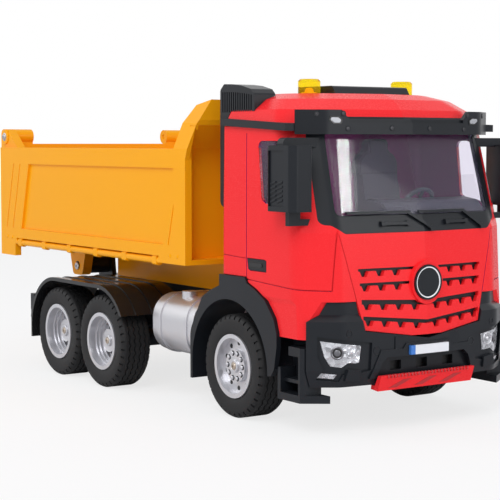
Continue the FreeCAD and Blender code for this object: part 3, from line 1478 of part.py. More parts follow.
def bed_lug(side):
    """The bed's pivot lug, under the floor, outside the chassis arm."""
    y0, y1 = side * bed_lug_y, side * (bed_lug_y + lug_width)
    high, low = bed_bottom + bed_floor / 2, pivot_z - lug_width
    points = [(pivot_x - lug_width * 2, high), (pivot_x - lug_width, low), (pivot_x + lug_width, low),
              (pivot_x + lug_width * 2, high)]
    lug = side_prism(points, y0, y1, [0, lug_width / 2, lug_width / 2, 0])
    bore = cylinder(pivot_radius + bearing_gap, V(pivot_x, y0 - side * cut, pivot_z),
                    V(pivot_x, y1 + side * cut, pivot_z))
    return lug.cut(bore)


sill_start = 15.0            # ahead of the pivot


def load_bed():
    x0, x1 = bed_tail_x, bed_front_x
    floor = box(x0 + bed_wall, x1 - bed_wall, -bed_half_width + bed_wall, bed_half_width - bed_wall,
                bed_bottom, bed_bottom + bed_floor)
    pieces = pair(bed_side()) + [headboard(), bed_lug(-1), bed_lug(1)]
    sills = [box(pivot_x + sill_start, x1 - bed_wall, s * (rail_half - rail_flange), s * rail_half,
                 rail_top + seat_gap, bed_bottom + bed_floor / 2) for s in (-1, 1)]
    solid = floor.fuse(pieces + sills + ram_clevis())
    ears = []
    for side in (-1, 1):
        y1 = side * (bed_half_width - ear_inset)
        y0 = y1 - side * ear_width
        foot_z, top_z, radius = bed_rail_top - ear_foot, hinge_z + hinge_barrel, hinge_barrel * ear_round_share
        outline = [(x0, foot_z), (x0 + ear_foot * 2, foot_z), (x0 + ear_foot * 2, bed_rail_top),
                   (hinge_x + hinge_barrel, top_z), (hinge_x - hinge_barrel, top_z),
                   (hinge_x - hinge_barrel, bed_rail_top), (x0, bed_rail_top)]
        lug = side_prism(outline, y0, y1, [0, 0, 0, radius, radius, 0, 0])
        pin = cylinder(hinge_pin, V(hinge_x, y0 + side * ear_width / 2, hinge_z),
                       V(hinge_x, y0 - side * barrel_length, hinge_z))
        ears += [lug, pin]
    return solid.fuse(ears).removeSplitter()


gate_wall = 2.4
gate_border = 9.75
gate_rib = 1.2
gate_half = bed_half_width - bed_wall - bed_recess - gate_gap


def tailgate():
    """The rear flap on two barrels at its top, with a raised border and a lip over the floor's end."""
    x0 = bed_tail_x
    floor_top = bed_bottom + bed_floor + gate_gap
    plate = box(x0, x0 + gate_wall, -gate_half, gate_half, floor_top, hinge_z - hinge_barrel)
    plate = plate.cut(box(x0 - cut, x0 + gate_rib, -gate_half + gate_border, gate_half - gate_border,
                          panel_low, panel_high))
    lower = box(x0, x0 + bed_wall - gate_gap, -gate_half, gate_half, bed_bottom - bed_floor, floor_top)
    y1 = bed_half_width - ear_inset - ear_width - gate_gap
    y0 = y1 - barrel_length
    ear_room = [box(x0 - cut, x0 + cut, side * y1, side * (bed_half_width - ear_inset + gate_gap),
                    bed_rail_top - ear_foot - gate_gap, hinge_z + cut * 2) for side in (-1, 1)]
    solid = plate.fuse(lower).cut(ear_room)
    for side in (-1, 1):
        barrel = cylinder(hinge_barrel, V(hinge_x, side * y0, hinge_z), V(hinge_x, side * y1, hinge_z))
        web = box(x0, x0 + gate_wall, side * y0, side * y1, hinge_z - hinge_barrel - gate_wall, hinge_z)
        bore = cylinder(hinge_pin + bearing_gap, V(hinge_x, side * (y0 - cut), hinge_z),
                        V(hinge_x, side * (y1 + cut), hinge_z))
        solid = solid.fuse([barrel, web]).cut(bore)
    return solid.removeSplitter()


# Lifting ram between the rails
ram_base_run = 56.0          # the barrel's foot, ahead of the bed's pivot
ram_base_z = 41.0
ram_top_run = 19.0           # the rod's eye, ahead of the bed's pivot
ram_top_z = 69.5
ram_radius = 4.0
rod_radius = 2.4
eye_radius = 3.6             # at the barrel's foot
rod_eye_radius = 4.5
rod_eye_bore = 3.3           # wide, because the rod's end strays a little from its pin
rod_pin_radius = 1.2
eye_half = 3.0
cheek_wall = 2.0
foot_share = 0.7             # of an eye's radius, where the bars start at the eyes' middles
end_share = 2.2              # of an eye's radius, how far barrel and rod stop short of the far eye


def ram_points():
    base = V(pivot_x + ram_base_run, 0, ram_base_z)
    top = V(pivot_x + ram_top_run, 0, ram_top_z)
    return base, top, (top - base).normalize()


def ram_barrel():
    base, top, way = ram_points()
    tube_start = base + way * eye_radius * foot_share
    tube_end = top - way * eye_radius * end_share
    tube = cylinder(ram_radius, tube_start, tube_end)
    eye = cylinder(eye_radius, base - V(0, eye_half, 0), base + V(0, eye_half, 0))
    bore = cylinder(rod_radius + bearing_gap, tube_start + way * eye_radius, tube_end + way * cut)
    pin_hole = cylinder(hinge_pin + bearing_gap, base - V(0, cut, 0), base + V(0, cut, 0))
    return tube.cut(bore).fuse(eye).cut(pin_hole).removeSplitter()


def ram_rod():
    base, top, way = ram_points()
    rod = cylinder(rod_radius, base + way * eye_radius * end_share, top - way * eye_radius * foot_share)
    eye = cylinder(rod_eye_radius, top - V(0, eye_half, 0), top + V(0, eye_half, 0))
    pin_hole = cylinder(rod_eye_bore, top - V(0, cut, 0), top + V(0, cut, 0))
    return rod.fuse(eye).cut(pin_hole).removeSplitter()


def ram_clevis():
    """Two cheeks and a pin under the bed's floor for the rod's eye."""
    top = ram_points()[1]
    reach = eye_half + seat_gap * 2
    cheeks = []
    for side in (-1, 1):
        y0, y1 = side * reach, side * (reach + cheek_wall)
        points = [(top.x - rod_eye_radius, bed_bottom + bed_floor / 2),
                  (top.x - cheek_wall, top.z - cheek_wall), (top.x + cheek_wall, top.z - cheek_wall),
                  (top.x + rod_eye_radius, bed_bottom + bed_floor / 2)]
        cheeks.append(side_prism(points, y0, y1, [0, cheek_wall / 2, cheek_wall / 2, 0]))
    end = reach + cheek_wall / 2
    pin = cylinder(rod_pin_radius, V(top.x, -end, top.z), V(top.x, end, top.z))
    return [pin] + cheeks


def ram_mount():
    """Pin and cross tube at the ram's foot, between the rails."""
    base, half = ram_points()[0], rail_half - rail_web
    return cylinder(hinge_pin, V(base.x, -half, base.z), V(base.x, half, base.z))


wheels()
save("chassis_frame", chassis_frame())
save("motor_block", motor_block())
save("rear_axle_middle", rear_axle(middle_x))
save("rear_axle_rear", rear_axle(rear_x))
save("bogie_springs", *bogie_springs())
save("propshaft", *propshaft())
save("front_axle", front_axle())
save("knuckle_right", knuckle(-1))
save("knuckle_left", knuckle(1))
save("steering_rack", steering_rack())
save("fuel_tanks", *pair(fuel_tank()))
save("rear_mudguards", *pair(rear_mudguard()))
save("rear_bar", rear_bar())
save("tail_lamps", *tail_lamps())
save("cab_shell", cab_shell())
save("screen_frame", screen_frame())
save("windscreen", windscreen())
save("side_windows", side_window(-1), side_window(1))
save("grille_panel", grille_panel())
save("grille_backing", grille_backing())
save("badge", badge())
save("cab_floor", cab_floor())
save("seats", *seats())
save("dashboard", dashboard())
save("steering_wheel", steering_wheel())
save("gutters", gutter(-1), gutter(1))
save("sun_visor", sun_visor())
save("mirrors", *pair(mirror()))
save("beacons", *beacons())
save("roof_hatch", roof_hatch())
save("air_intake", air_intake())
save("front_bumper", front_bumper())
save("headlamps", *headlamps())
save("wipers", *wipers())
save("grab_handles", *grab_handles())
save("door_handles", *pair(door_handle()))
save("number_plate", number_plate())
save("skid_plate", skid_plate())
save("front_arches", *pair(front_arch()))
save("side_steps", *pair(side_steps()))
save("load_bed", load_bed())
save("tailgate", tailgate())
save("ram_barrel", ram_barrel())
save("ram_rod", ram_rod())
save("ram_pin", ram_mount())
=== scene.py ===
import math
import bmesh
import bpy
from mathutils import Matrix, Quaternion, Vector
from mathutils.bvhtree import BVHTree


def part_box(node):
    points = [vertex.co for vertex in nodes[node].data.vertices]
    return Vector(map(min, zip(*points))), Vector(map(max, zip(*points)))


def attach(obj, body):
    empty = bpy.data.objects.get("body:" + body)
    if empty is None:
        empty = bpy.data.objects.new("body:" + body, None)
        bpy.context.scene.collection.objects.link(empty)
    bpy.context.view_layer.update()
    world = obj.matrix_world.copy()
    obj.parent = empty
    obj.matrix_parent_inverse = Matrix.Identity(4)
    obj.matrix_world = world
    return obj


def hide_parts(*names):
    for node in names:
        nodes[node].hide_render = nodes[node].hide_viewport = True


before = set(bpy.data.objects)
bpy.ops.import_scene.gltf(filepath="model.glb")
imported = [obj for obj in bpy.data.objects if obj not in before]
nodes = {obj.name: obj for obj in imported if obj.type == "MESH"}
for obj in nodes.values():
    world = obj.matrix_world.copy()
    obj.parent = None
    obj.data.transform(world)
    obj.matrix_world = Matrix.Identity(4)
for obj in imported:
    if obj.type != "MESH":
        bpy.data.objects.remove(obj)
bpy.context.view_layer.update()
mm = 0.001
sides = (-1, 1)              # right, left
ray_start = 1.0              # metres, outside the truck on every side

# Camera, placed from the front axle: metres, degrees and pixels of a 500 pixel frame
frame_pixels = 500
focal_pixels = 1452.9
sensor = 36.0
camera_from_axle = Vector((0.60329, 0.0, 0.0))
camera_side = -0.46601
camera_height = 0.13869
camera_azimuth = 55.626
camera_elevation = 4.2456
camera_clip = (0.05, 20.0)

tyre_low, tyre_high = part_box("tyre_front_right")
front_axle_x = (tyre_low.x + tyre_high.x) / 2


def photo_camera():
    data = bpy.data.cameras.new("photo_camera")
    data.sensor_width = sensor
    data.lens = sensor * focal_pixels / frame_pixels
    data.clip_start, data.clip_end = camera_clip
    camera = bpy.data.objects.new("photo_camera", data)
    camera.location = Vector((front_axle_x, camera_side, camera_height)) + camera_from_axle
    turn, rise = math.radians(camera_azimuth), math.radians(camera_elevation)
    back = Vector((math.sin(turn) * math.cos(rise), -math.cos(turn) * math.cos(rise), math.sin(rise)))
    camera.rotation_mode = "QUATERNION"
    camera.rotation_quaternion = (-back).to_track_quat("-Z", "Y")
    bpy.context.collection.objects.link(camera)
    bpy.context.scene.camera = camera


# Places on a CAD node's surface
trees = {}


def surface(name):
    if name not in trees:
        mesh = nodes[name].data
        points = [v.co.copy() for v in mesh.vertices]
        trees[name] = BVHTree.FromPolygons(points, [tuple(p.vertices) for p in mesh.polygons])
    return trees[name]


def from_front(name, y, z):
    """The first point of a node met from ahead, and its normal; millimetres in, metres out."""
    start = Vector((ray_start, y * mm, z * mm))
    place, normal, index, reach = surface(name).ray_cast(start, Vector((-1, 0, 0)))
    return place, normal if normal.x > 0 else -normal


def from_side(name, x, z, side):
    """The first point of a node met from the right (-1) or the left (1), and its normal."""
    start = Vector((x * mm, side * ray_start, z * mm))
    place, normal, index, reach = surface(name).ray_cast(start, Vector((0, -side, 0)))
    return place, normal if normal.y * side > 0 else -normal


def box_middle(name):
    low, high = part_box(name)
    return (low + high) / 2


# Light: soft round lamps, as (name, place, target, width, power), and a bright strip that mirrors in the glass
round_lamps = [
    ("key_lamp", (0.9, -1.1, 1.3), (0.0, 0.0, 0.05), 1.1, 14.3),
    ("side_lamp", (-0.9, -1.3, 0.8), (-0.05, 0.0, 0.08), 1.0, 5.5),
    ("top_lamp", (0.1, 0.3, 1.6), (0.0, 0.0, 0.1), 1.4, 2.4),
    ("front_lamp", (1.6, 0.5, 0.5), (0.1, 0.0, 0.08), 0.9, 5.0),
]
screen_glare_at = (0.158, -0.0445, 0.122)
strip_size = (0.018, 0.17)
strip_power = 0.65
strip_roll = -14.0
strip_reach = 1.5
air_colour = (0.93, 0.95, 1.0)
air_strength = 0.43


def add_lamp(name, data, place, turn):
    lamp = bpy.data.objects.new(name, data)
    lamp.location = place
    lamp.rotation_mode = "QUATERNION"
    lamp.rotation_quaternion = turn
    bpy.context.collection.objects.link(lamp)


def round_lamp(name, place, target, width, power):
    data = bpy.data.lights.new(name, "AREA")
    data.shape = "DISK"
    data.size, data.energy = width, power
    add_lamp(name, data, place, (Vector(target) - Vector(place)).to_track_quat("-Z", "Y"))


def strip_lamp(name, node, target, size, power, roll):
    """A narrow upright lamp that the camera sees mirrored at a target on a node."""
    eye = bpy.context.scene.camera.location
    sight = (Vector(target) - eye).normalized()
    place, normal, index, length = surface(node).ray_cast(eye, sight)
    way = sight.reflect(normal)
    data = bpy.data.lights.new(name, "AREA")
    data.shape = "RECTANGLE"
    data.size, data.size_y = size
    data.energy = power
    turn = (-way).to_track_quat("-Z", "Y") @ Quaternion((0, 0, 1), math.radians(roll))
    add_lamp(name, data, place + way * strip_reach, turn)


# Shader helpers: an input is a socket to link or a value to set
def give(tree, socket, given):
    if isinstance(given, bpy.types.NodeSocket):
        tree.links.new(given, socket)
    else:
        socket.default_value = given


def math_node(tree, operation, *givens):
    node = tree.nodes.new("ShaderNodeMath")
    node.operation = operation
    for socket, given in zip(node.inputs, givens):
        give(tree, socket, given)
    return node.outputs[0]


def scaled_colour(tree, colour, amount):
    node = tree.nodes.new("ShaderNodeVectorMath")
    node.operation = "SCALE"
    give(tree, node.inputs[0], colour)
    give(tree, node.inputs["Scale"], amount)
    return node.outputs[0]


def studio():
    """An even world that lights weakly and shows white, and the lamps."""
    world = bpy.data.worlds.new("studio_air")
    bpy.context.scene.world = world
    world.use_nodes = True
    tree = world.node_tree
    tree.nodes.clear()
    out = tree.nodes.new("ShaderNodeOutputWorld")
    mix = tree.nodes.new("ShaderNodeMixShader")
    rays = tree.nodes.new("ShaderNodeLightPath")
    lit = tree.nodes.new("ShaderNodeBackground")
    shown = tree.nodes.new("ShaderNodeBackground")
    lit.inputs["Color"].default_value = (*air_colour, 1)
    lit.inputs["Strength"].default_value = air_strength
    shown.inputs["Color"].default_value = (1, 1, 1, 1)
    shown.inputs["Strength"].default_value = 1.0
    seen = math_node(tree, "MAXIMUM", rays.outputs["Is Camera Ray"], rays.outputs["Is Transmission Ray"])
    mirrored = math_node(tree, "MAXIMUM", seen, rays.outputs["Is Glossy Ray"])
    tree.links.new(mirrored, mix.inputs["Fac"])
    tree.links.new(lit.outputs[0], mix.inputs[1])
    tree.links.new(shown.outputs[0], mix.inputs[2])
    tree.links.new(mix.outputs[0], out.inputs["Surface"])
    for lamp in round_lamps:
        round_lamp(*lamp)
    strip_lamp("window_strip", "windscreen", screen_glare_at, strip_size, strip_power, strip_roll)


# The shader group that all plastics share
slow_scale = 38.0
coat_rough = 0.08
grain_depth = 0.0002


def new_group(name, inputs, outputs):
    group = bpy.data.node_groups.new(name, "ShaderNodeTree")
    for label, kind, value in inputs:
        socket = group.interface.new_socket(name=label, in_out="INPUT", socket_type=kind)
        socket.default_value = value
    for label, kind in outputs:
        group.interface.new_socket(name=label, in_out="OUTPUT", socket_type=kind)
    start = group.nodes.new("NodeGroupInput")
    end = group.nodes.new("NodeGroupOutput")
    return group, start, end


def moulded_skin():
    """A fine moulding grain for relief and gloss, and a slow, slight drift of tone."""
    tree, start, end = new_group(
        "moulded_skin",
        [("Colour", "NodeSocketColor", (0.5, 0.5, 0.5, 1)), ("Grain", "NodeSocketFloat", 2200.0),
         ("Tone", "NodeSocketFloat", 0.05), ("Gloss", "NodeSocketFloat", 0.3),
         ("Spread", "NodeSocketFloat", 0.06)],
        [("Colour", "NodeSocketColor"), ("Roughness", "NodeSocketFloat"), ("Height", "NodeSocketFloat")])
    place = tree.nodes.new("ShaderNodeTexCoord")
    grain = tree.nodes.new("ShaderNodeTexNoise")
    grain.inputs["Detail"].default_value = 3.0
    slow = tree.nodes.new("ShaderNodeTexNoise")
    slow.inputs["Scale"].default_value = slow_scale
    slow.inputs["Detail"].default_value = 4.0
    tree.links.new(place.outputs["Object"], grain.inputs["Vector"])
    tree.links.new(place.outputs["Object"], slow.inputs["Vector"])
    tree.links.new(start.outputs["Grain"], grain.inputs["Scale"])
    drift = math_node(tree, "SUBTRACT", slow.outputs["Fac"], 0.5)
    amount = math_node(tree, "MULTIPLY_ADD", drift, start.outputs["Tone"], 1.0)
    tree.links.new(scaled_colour(tree, start.outputs["Colour"], amount), end.inputs["Colour"])
    rough = math_node(tree, "MULTIPLY_ADD", grain.outputs["Fac"], start.outputs["Spread"], start.outputs["Gloss"])
    tree.links.new(rough, end.inputs["Roughness"])
    tree.links.new(grain.outputs["Fac"], end.inputs["Height"])
    return tree


skin = moulded_skin()


def plastic(name, colour, gloss, tone=0.05, grain=2200.0, bump=0.05, coat=0.0, metallic=0.0, specular=0.5):
    """A moulded plastic finish built on the shared skin."""
    material = bpy.data.materials.new(name)
    material.use_nodes = True
    tree = material.node_tree
    shader = tree.nodes["Principled BSDF"]
    group = tree.nodes.new("ShaderNodeGroup")
    group.node_tree = skin
    group.inputs["Colour"].default_value = (*colour, 1)
    group.inputs["Grain"].default_value = grain
    group.inputs["Tone"].default_value = tone
    group.inputs["Gloss"].default_value = gloss
    relief = tree.nodes.new("ShaderNodeBump")
    relief.inputs["Strength"].default_value = bump
    relief.inputs["Distance"].default_value = grain_depth
    tree.links.new(group.outputs["Colour"], shader.inputs["Base Color"])
    tree.links.new(group.outputs["Roughness"], shader.inputs["Roughness"])
    tree.links.new(group.outputs["Height"], relief.inputs["Height"])
    tree.links.new(relief.outputs["Normal"], shader.inputs["Normal"])
    shader.inputs["Coat Weight"].default_value = coat
    shader.inputs["Coat Roughness"].default_value = coat_rough
    shader.inputs["Metallic"].default_value = metallic
    shader.inputs["Specular IOR Level"].default_value = specular
    return material


def clear_plastic(name, colour, rough, ior, passing):
    material = bpy.data.materials.new(name)
    material.use_nodes = True
    shader = material.node_tree.nodes["Principled BSDF"]
    shader.inputs["Base Color"].default_value = (*colour, 1)
    shader.inputs["Roughness"].default_value = rough
    shader.inputs["Transmission Weight"].default_value = passing
    shader.inputs["IOR"].default_value = ior
    return material


def veiled(material, tint, sheen, sheen_rough=0.7):
    """A faint tinted sheen on glass."""
    shader = material.node_tree.nodes["Principled BSDF"]
    shader.inputs["Sheen Weight"].default_value = sheen
    shader.inputs["Sheen Roughness"].default_value = sheen_rough
    shader.inputs["Sheen Tint"].default_value = (*tint, 1)


def second_colour(material, shade, mask):
    """A second base colour where a mask is 1."""
    tree = material.node_tree
    shader = tree.nodes["Principled BSDF"]
    base = shader.inputs["Base Color"].links[0].from_socket
    mix = tree.nodes.new("ShaderNodeMix")
    mix.data_type = "RGBA"
    mix.inputs["B"].default_value = (*shade, 1)
    tree.links.new(mask, mix.inputs["Factor"])
    tree.links.new(base, mix.inputs["A"])
    tree.links.new(mix.outputs["Result"], shader.inputs["Base Color"])


def banded(material, shade, start, stop):
    """A second colour between two distances across the truck, in millimetres, on a plate."""
    tree = material.node_tree
    place = tree.nodes.new("ShaderNodeTexCoord")
    parts = tree.nodes.new("ShaderNodeSeparateXYZ")
    tree.links.new(place.outputs["Object"], parts.inputs["Vector"])
    inner = math_node(tree, "LESS_THAN", parts.outputs["Y"], start * mm)
    outer = math_node(tree, "GREATER_THAN", parts.outputs["Y"], stop * mm)
    second_colour(material, shade, math_node(tree, "MULTIPLY", inner, outer))


def shade_inner_walls(material, shade, centre):
    """A second colour, painted shade, on the faces that look towards a centre, in millimetres: a hollow piece's
    inner walls.
    """
    tree = material.node_tree
    place = tree.nodes.new("ShaderNodeTexCoord")
    out = tree.nodes.new("ShaderNodeVectorMath")
    out.operation = "SUBTRACT"
    out.inputs[1].default_value = [c * mm for c in centre]
    along = tree.nodes.new("ShaderNodeVectorMath")
    along.operation = "DOT_PRODUCT"
    tree.links.new(place.outputs["Object"], out.inputs[0])
    tree.links.new(out.outputs["Vector"], along.inputs[0])
    tree.links.new(place.outputs["Normal"], along.inputs[1])
    second_colour(material, shade, math_node(tree, "LESS_THAN", along.outputs["Value"], 0.0))


def facets_and_glints(material, scale, strength, dark=0.4, bright=1.15):
    """Small facets in the bump, in place of the moulding grain, as in a lamp's reflector, each with its base
    colour painted lighter or darker: painted reflections.
    """
    tree = material.node_tree
    shader = tree.nodes["Principled BSDF"]
    place = tree.nodes.new("ShaderNodeTexCoord")
    cells = tree.nodes.new("ShaderNodeTexVoronoi")
    cells.inputs["Scale"].default_value = scale
    relief = tree.nodes.new("ShaderNodeBump")
    relief.inputs["Strength"].default_value = strength
    relief.inputs["Distance"].default_value = mm
    tree.links.new(place.outputs["Object"], cells.inputs["Vector"])
    tree.links.new(cells.outputs["Distance"], relief.inputs["Height"])
    tree.links.new(relief.outputs["Normal"], shader.inputs["Normal"])
    parts = tree.nodes.new("ShaderNodeSeparateColor")
    # Each facet's painted reflection brightness, from dark to bright.
    depth = tree.nodes.new("ShaderNodeMapRange")
    depth.inputs["To Min"].default_value = dark
    depth.inputs["To Max"].default_value = bright
    tree.links.new(cells.outputs["Color"], parts.inputs["Color"])
    tree.links.new(parts.outputs["Red"], depth.inputs["Value"])
    base = shader.inputs["Base Color"].links[0].from_socket
    tree.links.new(scaled_colour(tree, base, depth.outputs["Result"]), shader.inputs["Base Color"])


bright_red = (0.94, 0.026, 0.032)
red = plastic("red_moulding", bright_red, 0.24, tone=0.02, bump=0.01, specular=0.14)
# The same red for the cab, with its inner walls in painted shade.
cab_red_shaded_inside = plastic("cab_red_inner_shade_moulding", bright_red, 0.24, tone=0.02, bump=0.01, specular=0.14)
dark_red = plastic("dark_red_moulding", (0.5, 0.014, 0.018), 0.3, tone=0.03, bump=0.02)
orange = plastic("orange_moulding", (0.98, 0.415, 0.006), 0.26, tone=0.02, bump=0.015, specular=0.12)
black = plastic("black_moulding", (0.012, 0.014, 0.018), 0.28, tone=0.15, bump=0.08, specular=0.22)
gloss_black = plastic("gloss_black_moulding", (0.011, 0.011, 0.012), 0.16, tone=0.12, bump=0.02, specular=0.4)
# Near-black for painted shade: plates and rings put where slots, holes and recesses lie in shade.
shadow_black = plastic("painted_shade_black", (0.006, 0.006, 0.007), 0.6, tone=0.1)
rubber = plastic("tyre_rubber", (0.0145, 0.0145, 0.0155), 0.55, tone=0.2, grain=1500.0, bump=0.25, specular=0.25)
grey = plastic("grey_interior", (0.045, 0.048, 0.062), 0.45, tone=0.1, bump=0.1, specular=0.25)
white = plastic("white_plate", (0.93, 0.94, 0.96), 0.3)
plate_white = plastic("plate_white", (0.82, 0.84, 0.88), 0.3)
silver = plastic("silver_moulding", (0.62, 0.62, 0.65), 0.26, tone=0.05, bump=0.02, metallic=0.7)
steel = plastic("bare_steel", (0.5, 0.5, 0.52), 0.28, metallic=1.0)
dark_steel = plastic("dark_screw", (0.16, 0.16, 0.175), 0.3, tone=0.2, metallic=0.85)
dark_head = plastic("dark_head", (0.05, 0.05, 0.056), 0.3, tone=0.2, metallic=0.5)
brass = plastic("brass_screw", (0.5, 0.43, 0.36), 0.3, tone=0.2, metallic=1.0)
marker = plastic("marker_lens", (0.4, 0.41, 0.44), 0.2, metallic=0.2)
tail_red = plastic("tail_lens", (0.5, 0.01, 0.012), 0.15, coat=0.5)
reflector = plastic("lamp_reflector", (0.62, 0.63, 0.67), 0.14, tone=0.9, metallic=0.7, coat=0.6)
amber = clear_plastic("amber_lens", (1.0, 0.78, 0.02), 0.03, 1.12, 0.8)
clear = clear_plastic("window_clear", (0.93, 0.91, 0.97), 0.01, 1.2, 0.98)

plate_band = (-9.3, -12.6)             # across the truck
cab_middle = (118.0, 0.0, 112.0)       # a point that the cab's inner walls look towards
veiled(clear, (0.3, 0.2, 0.95), 0.05)
# Painted reflections: each facet of the reflector painted lighter or darker.
facets_and_glints(reflector, 420.0, 0.5)
banded(plate_white, (0.05, 0.2, 0.62), *plate_band)
# Painted shade: the cab's inner walls in a darker, magenta red, for the shade inside the cab behind the tinted
# glass.
shade_inner_walls(cab_red_shaded_inside, (0.3, 0.008, 0.15), cab_middle)

# Finishes by node. Tyres are rubber, rims silver, and all the rest is black.
finishes = {
    red: "grille_panel skid_plate",
    cab_red_shaded_inside: "cab_shell",
    orange: "load_bed tailgate",
    grey: "seats dashboard steering_wheel",
    silver: "fuel_tanks",
    steel: "propshaft ram_rod ram_pin",
    amber: "beacons",
    clear: "windscreen side_windows",
    reflector: "headlamps",
    gloss_black: "rear_mudguards",
    plate_white: "number_plate",
    tail_red: "tail_lamps",
}


def dress_nodes():
    by_name = {name: finish for finish, names in finishes.items() for name in names.split()}
    for name, piece in nodes.items():
        finish = by_name.get(name, black)
        if name.startswith("tyre_"):
            finish = rubber
        if name.startswith("rim_"):
            finish = silver
        for slot in piece.material_slots:
            slot.material = finish


# Making pieces
same_point = 1e-7
eased_from = math.radians(25)


def add_piece(name, form, finish, body, sharp=35.0):
    """One mesh piece from a bmesh, with sharp edges over an angle, riding on a body."""
    bmesh.ops.recalc_face_normals(form, faces=form.faces)
    mesh = bpy.data.meshes.new(name)
    form.to_mesh(mesh)
    form.free()
    mesh.shade_smooth()
    mesh.set_sharp_from_angle(angle=math.radians(sharp))
    mesh.materials.append(finish)
    piece = bpy.data.objects.new(name, mesh)
    bpy.context.collection.objects.link(piece)
    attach(piece, body)
    return piece


def upright(place, normal, turn=0.0):
    """A frame at a place whose Z runs along a surface's normal."""
    facing = normal.to_track_quat("Z", "Y").to_matrix().to_4x4()
    return Matrix.Translation(place) @ facing @ Matrix.Rotation(turn, 4, "Z")


def lathe(form, profile, place, segments=32):
    """A turned shape from (height, radius) points in millimetres."""
    rings = []
    for height, radius in profile:
        if radius == 0:
            rings.append([form.verts.new(place @ Vector((0, 0, height * mm)))])
            continue
        ring = []
        for k in range(segments):
            angle = 2 * math.pi * k / segments
            point = Vector((radius * math.cos(angle), radius * math.sin(angle), height))
            ring.append(form.verts.new(place @ (point * mm)))
        rings.append(ring)
    for low, high in zip(rings, rings[1:]):
        for k in range(segments):
            a, b = low[k % len(low)], low[(k + 1) % segments % len(low)]
            c, d = high[(k + 1) % segments % len(high)], high[k % len(high)]
            form.faces.new([v for i, v in enumerate((a, b, c, d)) if v not in (a, b, c, d)[:i]])
    bmesh.ops.remove_doubles(form, verts=form.verts, dist=same_point)


def prism(form, corners, way):
    """An outline of points, in metres, drawn out along a vector."""
    low = [form.verts.new(Vector(p)) for p in corners]
    high = [form.verts.new(Vector(p) + way) for p in corners]
    form.faces.new(low)
    form.faces.new(high)
    for i in range(len(low)):
        after = (i + 1) % len(low)
        form.faces.new([low[i], low[after], high[after], high[i]])


def ease(form, width, steps=2):
    """Rounds all sharp edges of a form, by a width in millimetres."""
    bmesh.ops.recalc_face_normals(form, faces=form.faces)
    sharp = [e for e in form.edges if len(e.link_faces) == 2 and e.calc_face_angle() > eased_from]
    bmesh.ops.bevel(form, geom=sharp, offset=width * mm, segments=steps, affect="EDGES", clamp_overlap=True)


def raised_flat(form, hits, rise, sink=0.15):
    """A raised flat on (point, normal) corners, sunk a little at its foot."""
    normal = sum((n for p, n in hits), Vector()).normalized()
    prism(form, [p - normal * sink * mm for p, n in hits], normal * (rise + sink) * mm)


def front_patch(form, name, corners, rise):
    """A raised flat of (y, z) corners laid on a node's front."""
    raised_flat(form, [from_front(name, y, z) for y, z in corners], rise)


def side_patch(form, name, corners, side, rise):
    """A raised flat of (x, z) corners laid on a node's side."""
    raised_flat(form, [from_side(name, x, z, side) for x, z in corners], rise)


# Tyres: ribs between zig-zag grooves, and a notch at every kink of the shoulder
tread_pitches = 36
tread_steps = [0.0, 0.38, 0.5, 0.62]
notch_steps = (1, 2)
tyre_side = [(8.15, 15.0), (8.15, 16.2), (8.5, 16.7), (8.95, 18.3), (9.2, 20.4), (9.25, 22.5), (9.12, 23.8),
             (8.7, 25.0), (7.9, 25.8), (7.1, 26.2)]
groove_places = [-4.9, -1.65, 1.65, 4.9]
groove_shape = [(-0.36, 0.0), (-0.2, -0.95), (0.2, -0.95), (0.36, 0.0)]
zigzag_reach = 0.5
tread_edge = 6.9
tread_radius = 26.25
notch_margin = 0.1
notch_depth = 0.75
tread_sharp = 28.0


def tread_profile(sway):
    """(distance across, radius) points of one slice, from bead to bead."""
    points = [(-d, r) for d, r in tyre_side]
    points.append((-tread_edge, tread_radius))
    for middle in groove_places:
        points += [(middle + sway * zigzag_reach + d, tread_radius + r) for d, r in groove_shape]
    points.append((tread_edge, tread_radius))
    return points + [(d, r) for d, r in reversed(tyre_side)]


def tyre(node, body):
    centre = box_middle(node)
    form = bmesh.new()
    slices = []
    for pitch in range(tread_pitches):
        for step in tread_steps:
            angle = 2 * math.pi * (pitch + step) / tread_pitches
            sway = 1 - 4 * min(step, 1 - step)
            slices.append([form.verts.new(centre + Vector((r * math.cos(angle), d, r * math.sin(angle))) * mm)
                           for d, r in tread_profile(sway)])
    count = len(slices[0])
    shoulders = (6, 7, count - 9, count - 8)
    notched = []
    for i, first in enumerate(slices):
        second = slices[(i + 1) % len(slices)]
        for k in range(count):
            after = (k + 1) % count
            face = form.faces.new([first[k], first[after], second[after], second[k]])
            if i % len(tread_steps) in notch_steps and k in shoulders:
                notched.append(face)
    bmesh.ops.recalc_face_normals(form, faces=form.faces)
    bmesh.ops.inset_region(form, faces=notched, thickness=notch_margin * mm, depth=-notch_depth * mm,
                           use_even_offset=True)
    piece = add_piece(node + "_tread", form, rubber, body, sharp=tread_sharp)
    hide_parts(node)


# Screws: a cross recess cut into a domed head. Places are (across the truck, height) on the front and
# (along the truck, height) on a side. Profiles are (height, radius) points.
screw_segments = 24
star_tip, star_valley, star_flank = 0.62, 0.2, 0.26
hub_ring_profile = [(-0.3, 0), (-0.3, 3.2), (0.35, 3.2), (0.5, 3.0), (0.5, 2.4), (0.2, 2.1), (0.2, 0)]
hub_screw_lift, hub_screw_radius, hub_screw_height = 0.2, 1.9, 0.7
hub_insets = {"front": 1.3, "middle": 4.6, "rear": 4.6}


